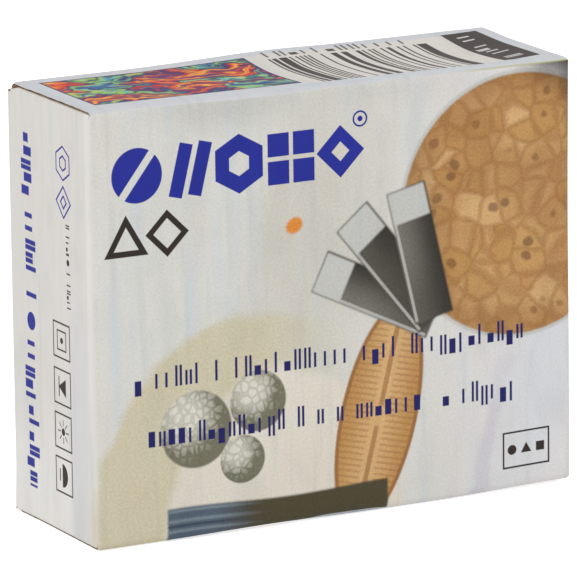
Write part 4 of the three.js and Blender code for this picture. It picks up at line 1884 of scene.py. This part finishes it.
@dataclass(frozen=True)
class SlideGlass:
    """Soda-lime glass, clear on its faces or ground on its cut edges."""

    name: str
    clean: tuple[int, int, int]
    dusty: tuple[int, int, int]
    smoothest: float
    roughest: float
    refraction: float = 1.52

    def make(self) -> bpy.types.Material:
        """Makes the material, whose tint and polish drift a little over the stack."""
        material, wiring, shader = fresh_material(self.name)
        coordinates = wiring.node("ShaderNodeTexCoord").outputs["Object"]
        point = wiring.stretched(coordinates, (1 / MM, 1 / MM, 1 / MM))
        film = wiring.smooth(wiring.noise(wiring.stretched(point, (0.4, 1, 1)), 0.3, 4.0), 0.38, 0.7)
        wiring.feed(shader.inputs["Base Color"], wiring.mix(film, tone(*self.clean), tone(*self.dusty)))
        wiring.feed(shader.inputs["Roughness"], wiring.blend(film, self.smoothest, self.roughest))
        wiring.feed(shader.inputs["IOR"], self.refraction)
        wiring.feed(shader.inputs["Transmission Weight"], 1.0)
        return material


# ---------------------------------------------------------------- the slides


@dataclass(frozen=True)
class SlideStack:
    """The plain glass slides, each a pane with its cut edges just broken."""

    count: int = 50
    edge_break: float = 0.07 * MM

    def add_pane(self, stack: bmesh.types.BMesh, low: Vector, high: Vector) -> None:
        """Adds a pane that fills the box between two corners."""
        verts = bmesh.ops.create_cube(stack, size=1.0)["verts"]
        bmesh.ops.scale(stack, vec=high - low, verts=verts)
        bmesh.ops.translate(stack, vec=(low + high) / 2, verts=verts)
        edges = list({edge for vert in verts for edge in vert.link_edges})
        bmesh.ops.bevel(
            stack, geom=edges, offset=self.edge_break, affect="EDGES", segments=1, profile=0.5, material=-1
        )

    def build(self, faces: bpy.types.Material, edges: bpy.types.Material) -> None:
        """Makes a pane in the place of each packed slide."""
        nodes = [f"slide_{number:02d}" for number in range(1, self.count + 1)]
        stack = bmesh.new()
        for node in nodes:
            self.add_pane(stack, *(Vector(corner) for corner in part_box(node)))
        for face in stack.faces:
            face.material_index = 0 if abs(face.normal.z) > 0.99 else 1
        data = bpy.data.meshes.new("glass_slides")
        stack.to_mesh(data)
        stack.free()
        data.materials.append(faces)
        data.materials.append(edges)
        piece = put_in_scene("glass_slides", data)
        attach(piece, "carton")
        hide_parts(*nodes)
        log.info("slides: %d panes", self.count)


# ---------------------------------------------------------------- the whole box


class SlideBox:
    """The carton, its lid, the crease between them and the slides inside."""

    def __init__(self, plan: BoxPlan) -> None:
        """Lays out every part of the board."""
        self.plan = plan
        self.walls = Walls(plan)
        self.lid = Lid(plan, plan.top, tuck_length=7.81 * MM, lean=10.3)
        self.base = Base(plan, plan.bottom, tuck_length=13.0 * MM, lean=0.0)
        self.flaps = [DustFlap(plan, side, top, self.walls) for top in (True, False) for side in (-1, 1)]
        self.print_finish = PrintedLiner("printed liner", with_walls=True, with_lid=False).make()
        self.lid_finish = PrintedLiner("printed lid liner", with_walls=False, with_lid=True).make()
        self.kraft = KraftPaper("kraft paper").make()
        self.cut_edge = KraftPaper("cut board edge", (190, 162, 128), (132, 102, 72), gaps=0.8).make()

    def carton(self) -> None:
        """Makes the carton's three plies, with the fluting of its flaps as a piece of its own."""
        walls, panels = [self.walls], [self.base, *self.flaps]
        plies = (
            ("carton_printed_liner", Ply.OUTER, walls + panels, [self.print_finish, self.cut_edge]),
            ("carton_fluting", Ply.MEDIUM, walls, [self.kraft, self.kraft]),
            ("carton_flap_fluting", Ply.MEDIUM, panels, [self.kraft, self.kraft]),
            ("carton_inner_liner", Ply.INNER, walls + panels, [self.kraft, self.kraft]),
        )
        for name, ply, sheets, materials in plies:
            piece = BoardPiece(name, printed=ply is Ply.OUTER)
            for sheet in sheets:
                sheet.add_to(piece, ply)
            made = piece.finish(materials)
            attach(made, "carton")
            if ply is Ply.OUTER:
                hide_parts("carton")

    def lid_panel(self) -> None:
        """Makes the lid's three plies."""
        plies = (
            ("lid_printed_liner", Ply.OUTER, [self.lid_finish, self.cut_edge]),
            ("lid_fluting", Ply.MEDIUM, [self.cut_edge, self.cut_edge]),
            ("lid_inner_liner", Ply.INNER, [self.kraft, self.kraft]),
        )
        for name, ply, materials in plies:
            piece = BoardPiece(name, printed=ply is Ply.OUTER)
            start = self.lid.fold_end + (0.3 * MM if ply is not Ply.INNER else 1.5 * MM)
            self.lid.add_to(piece, ply, start)
            made = piece.finish(materials)
            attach(made, "lid")
            if ply is Ply.OUTER:
                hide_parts("lid")

    def crease(self) -> None:
        """Makes the crease that the lid turns on."""
        made = FrontCrease(self.lid).build([self.print_finish, self.kraft])

    def slides(self) -> None:
        """Makes the glass slides."""
        faces = SlideGlass("clear slide glass", (242, 249, 246), (232, 243, 238), 0.0, 0.05).make()
        edges = SlideGlass("cut slide edge", (176, 212, 200), (150, 194, 180), 0.28, 0.42).make()
        SlideStack().build(faces, edges)


# ---------------------------------------------------------------- the studio


@dataclass(frozen=True)
class Studio:
    """A pale floor, a white backdrop, soft lamps and the camera."""

    world_light: float = 0.57
    floor_bounce: float = 0.24
    floor_glow: float = 0.6
    camera_yaw: float = 27.49
    camera_pitch: float = 13.11
    camera_roll: float = -0.74
    camera_distance: float = 1.0348
    camera_aside: float = 0.59 * MM
    camera_up: float = 0.83 * MM
    lens: float = 410.6
    lamps: tuple[tuple[tuple[float, float, float], float, float], ...] = (
        ((-0.9, -0.7, 0.9), 0.9, 6.4),
        ((0.9, -0.9, 0.6), 0.9, 3.6),
        ((0.1, 0.3, 1.2), 0.8, 3.0),
    )

    @staticmethod
    def looked_at(wiring: Wiring) -> Socket:
        """1 where the camera looks, straight on, in a reflection or through the glass."""
        path = wiring.node("ShaderNodeLightPath").outputs
        return wiring.either(path["Is Camera Ray"], path["Is Glossy Ray"], path["Is Transmission Ray"])

    def sky(self) -> None:
        """Lights the scene evenly and shows white behind it."""
        world = bpy.data.worlds.new("studio")
        bpy.context.scene.world = world
        world.use_nodes = True
        wiring = Wiring(world.node_tree)
        world.node_tree.nodes.clear()
        strength = wiring.blend(self.looked_at(wiring), self.world_light, 1.0)
        shade = wiring.node("ShaderNodeBackground", (1.0, 1.0, 1.0, 1.0), strength)
        wiring.node("ShaderNodeOutputWorld", shade.outputs[0])

    def floor(self, centre: Vector) -> None:
        """Lays the pale floor that takes the shadow."""
        mesh = bmesh.new()
        bmesh.ops.create_grid(mesh, x_segments=1, y_segments=1, size=3.0)
        bmesh.ops.translate(mesh, vec=(centre.x, centre.y, -0.05 * MM), verts=mesh.verts)
        data = bpy.data.meshes.new("floor")
        mesh.to_mesh(data)
        mesh.free()
        floor = put_in_scene("floor", data)
        material = bpy.data.materials.new("floor")
        material.use_nodes = True
        material.node_tree.nodes.clear()
        wiring = Wiring(material.node_tree)
        paint = wiring.node("ShaderNodeBsdfDiffuse", tone(232, 232, 230)).outputs[0]
        strength = wiring.blend(self.looked_at(wiring), self.floor_bounce, self.floor_glow)
        glow = wiring.node("ShaderNodeEmission", (1.0, 1.0, 1.0, 1.0), strength)
        lit = wiring.node("ShaderNodeAddShader", paint, glow.outputs[0]).outputs[0]
        behind = wiring.node("ShaderNodeNewGeometry").outputs["Backfacing"]
        clear = wiring.node("ShaderNodeBsdfTransparent").outputs[0]
        shown = wiring.node("ShaderNodeMixShader", behind, lit, clear).outputs[0]
        wiring.node("ShaderNodeOutputMaterial", shown)
        data.materials.append(material)

    def lights(self, centre: Vector) -> None:
        """Hangs the soft lamps, each turned to the box."""
        for i, (place, size, power) in enumerate(self.lamps):
            lamp = bpy.data.lights.new(f"softbox_{i}", "AREA")
            lamp.shape = "SQUARE"
            lamp.size = size
            lamp.energy = power
            holder = put_in_scene(f"softbox_{i}", lamp)
            holder.location = place
            holder.rotation_euler = (centre - Vector(place)).to_track_quat("-Z", "Y").to_euler()

    def camera(self, centre: Vector) -> None:
        """Stands the camera in front of the box, to the left and a little above."""
        yaw, pitch = math.radians(self.camera_yaw), math.radians(self.camera_pitch)
        level_reach = math.cos(pitch)
        ahead = Vector((math.sin(yaw) * level_reach, math.cos(yaw) * level_reach, -math.sin(pitch)))
        level = Vector((math.cos(yaw), -math.sin(yaw), 0.0))
        roll = math.radians(self.camera_roll)
        plumb = level.cross(ahead)
        right = math.cos(roll) * level + math.sin(roll) * plumb
        upward = math.cos(roll) * plumb - math.sin(roll) * level
        data = bpy.data.cameras.new("camera")
        data.lens = self.lens
        data.sensor_width = 36.0
        data.clip_start = 0.05
        camera = put_in_scene("camera", data)
        turn = Matrix((right, upward, -ahead)).transposed().to_4x4()
        place = centre - ahead * self.camera_distance
        place -= right * self.camera_aside + upward * self.camera_up
        camera.matrix_world = Matrix.Translation(place) @ turn
        bpy.context.scene.camera = camera

    def build(self) -> None:
        """Builds the studio round the box."""
        foot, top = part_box("carton")[0][2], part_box("lid")[1][2]
        centre = Vector((0.0, 0.0, (foot + top) / 2))
        self.sky()
        self.floor(centre)
        self.lights(centre)
        self.camera(centre)
        bpy.context.scene.view_settings.view_transform = "Standard"


def main() -> None:
    """Builds the box and its studio in order."""
    logging.basicConfig(level=logging.INFO, format="%(name)s: %(message)s")
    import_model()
    box = SlideBox(BoxPlan.from_frame())
    box.carton()
    box.lid_panel()
    box.crease()
    box.slides()
    Studio().build()


if __name__ == "__main__":
    main()
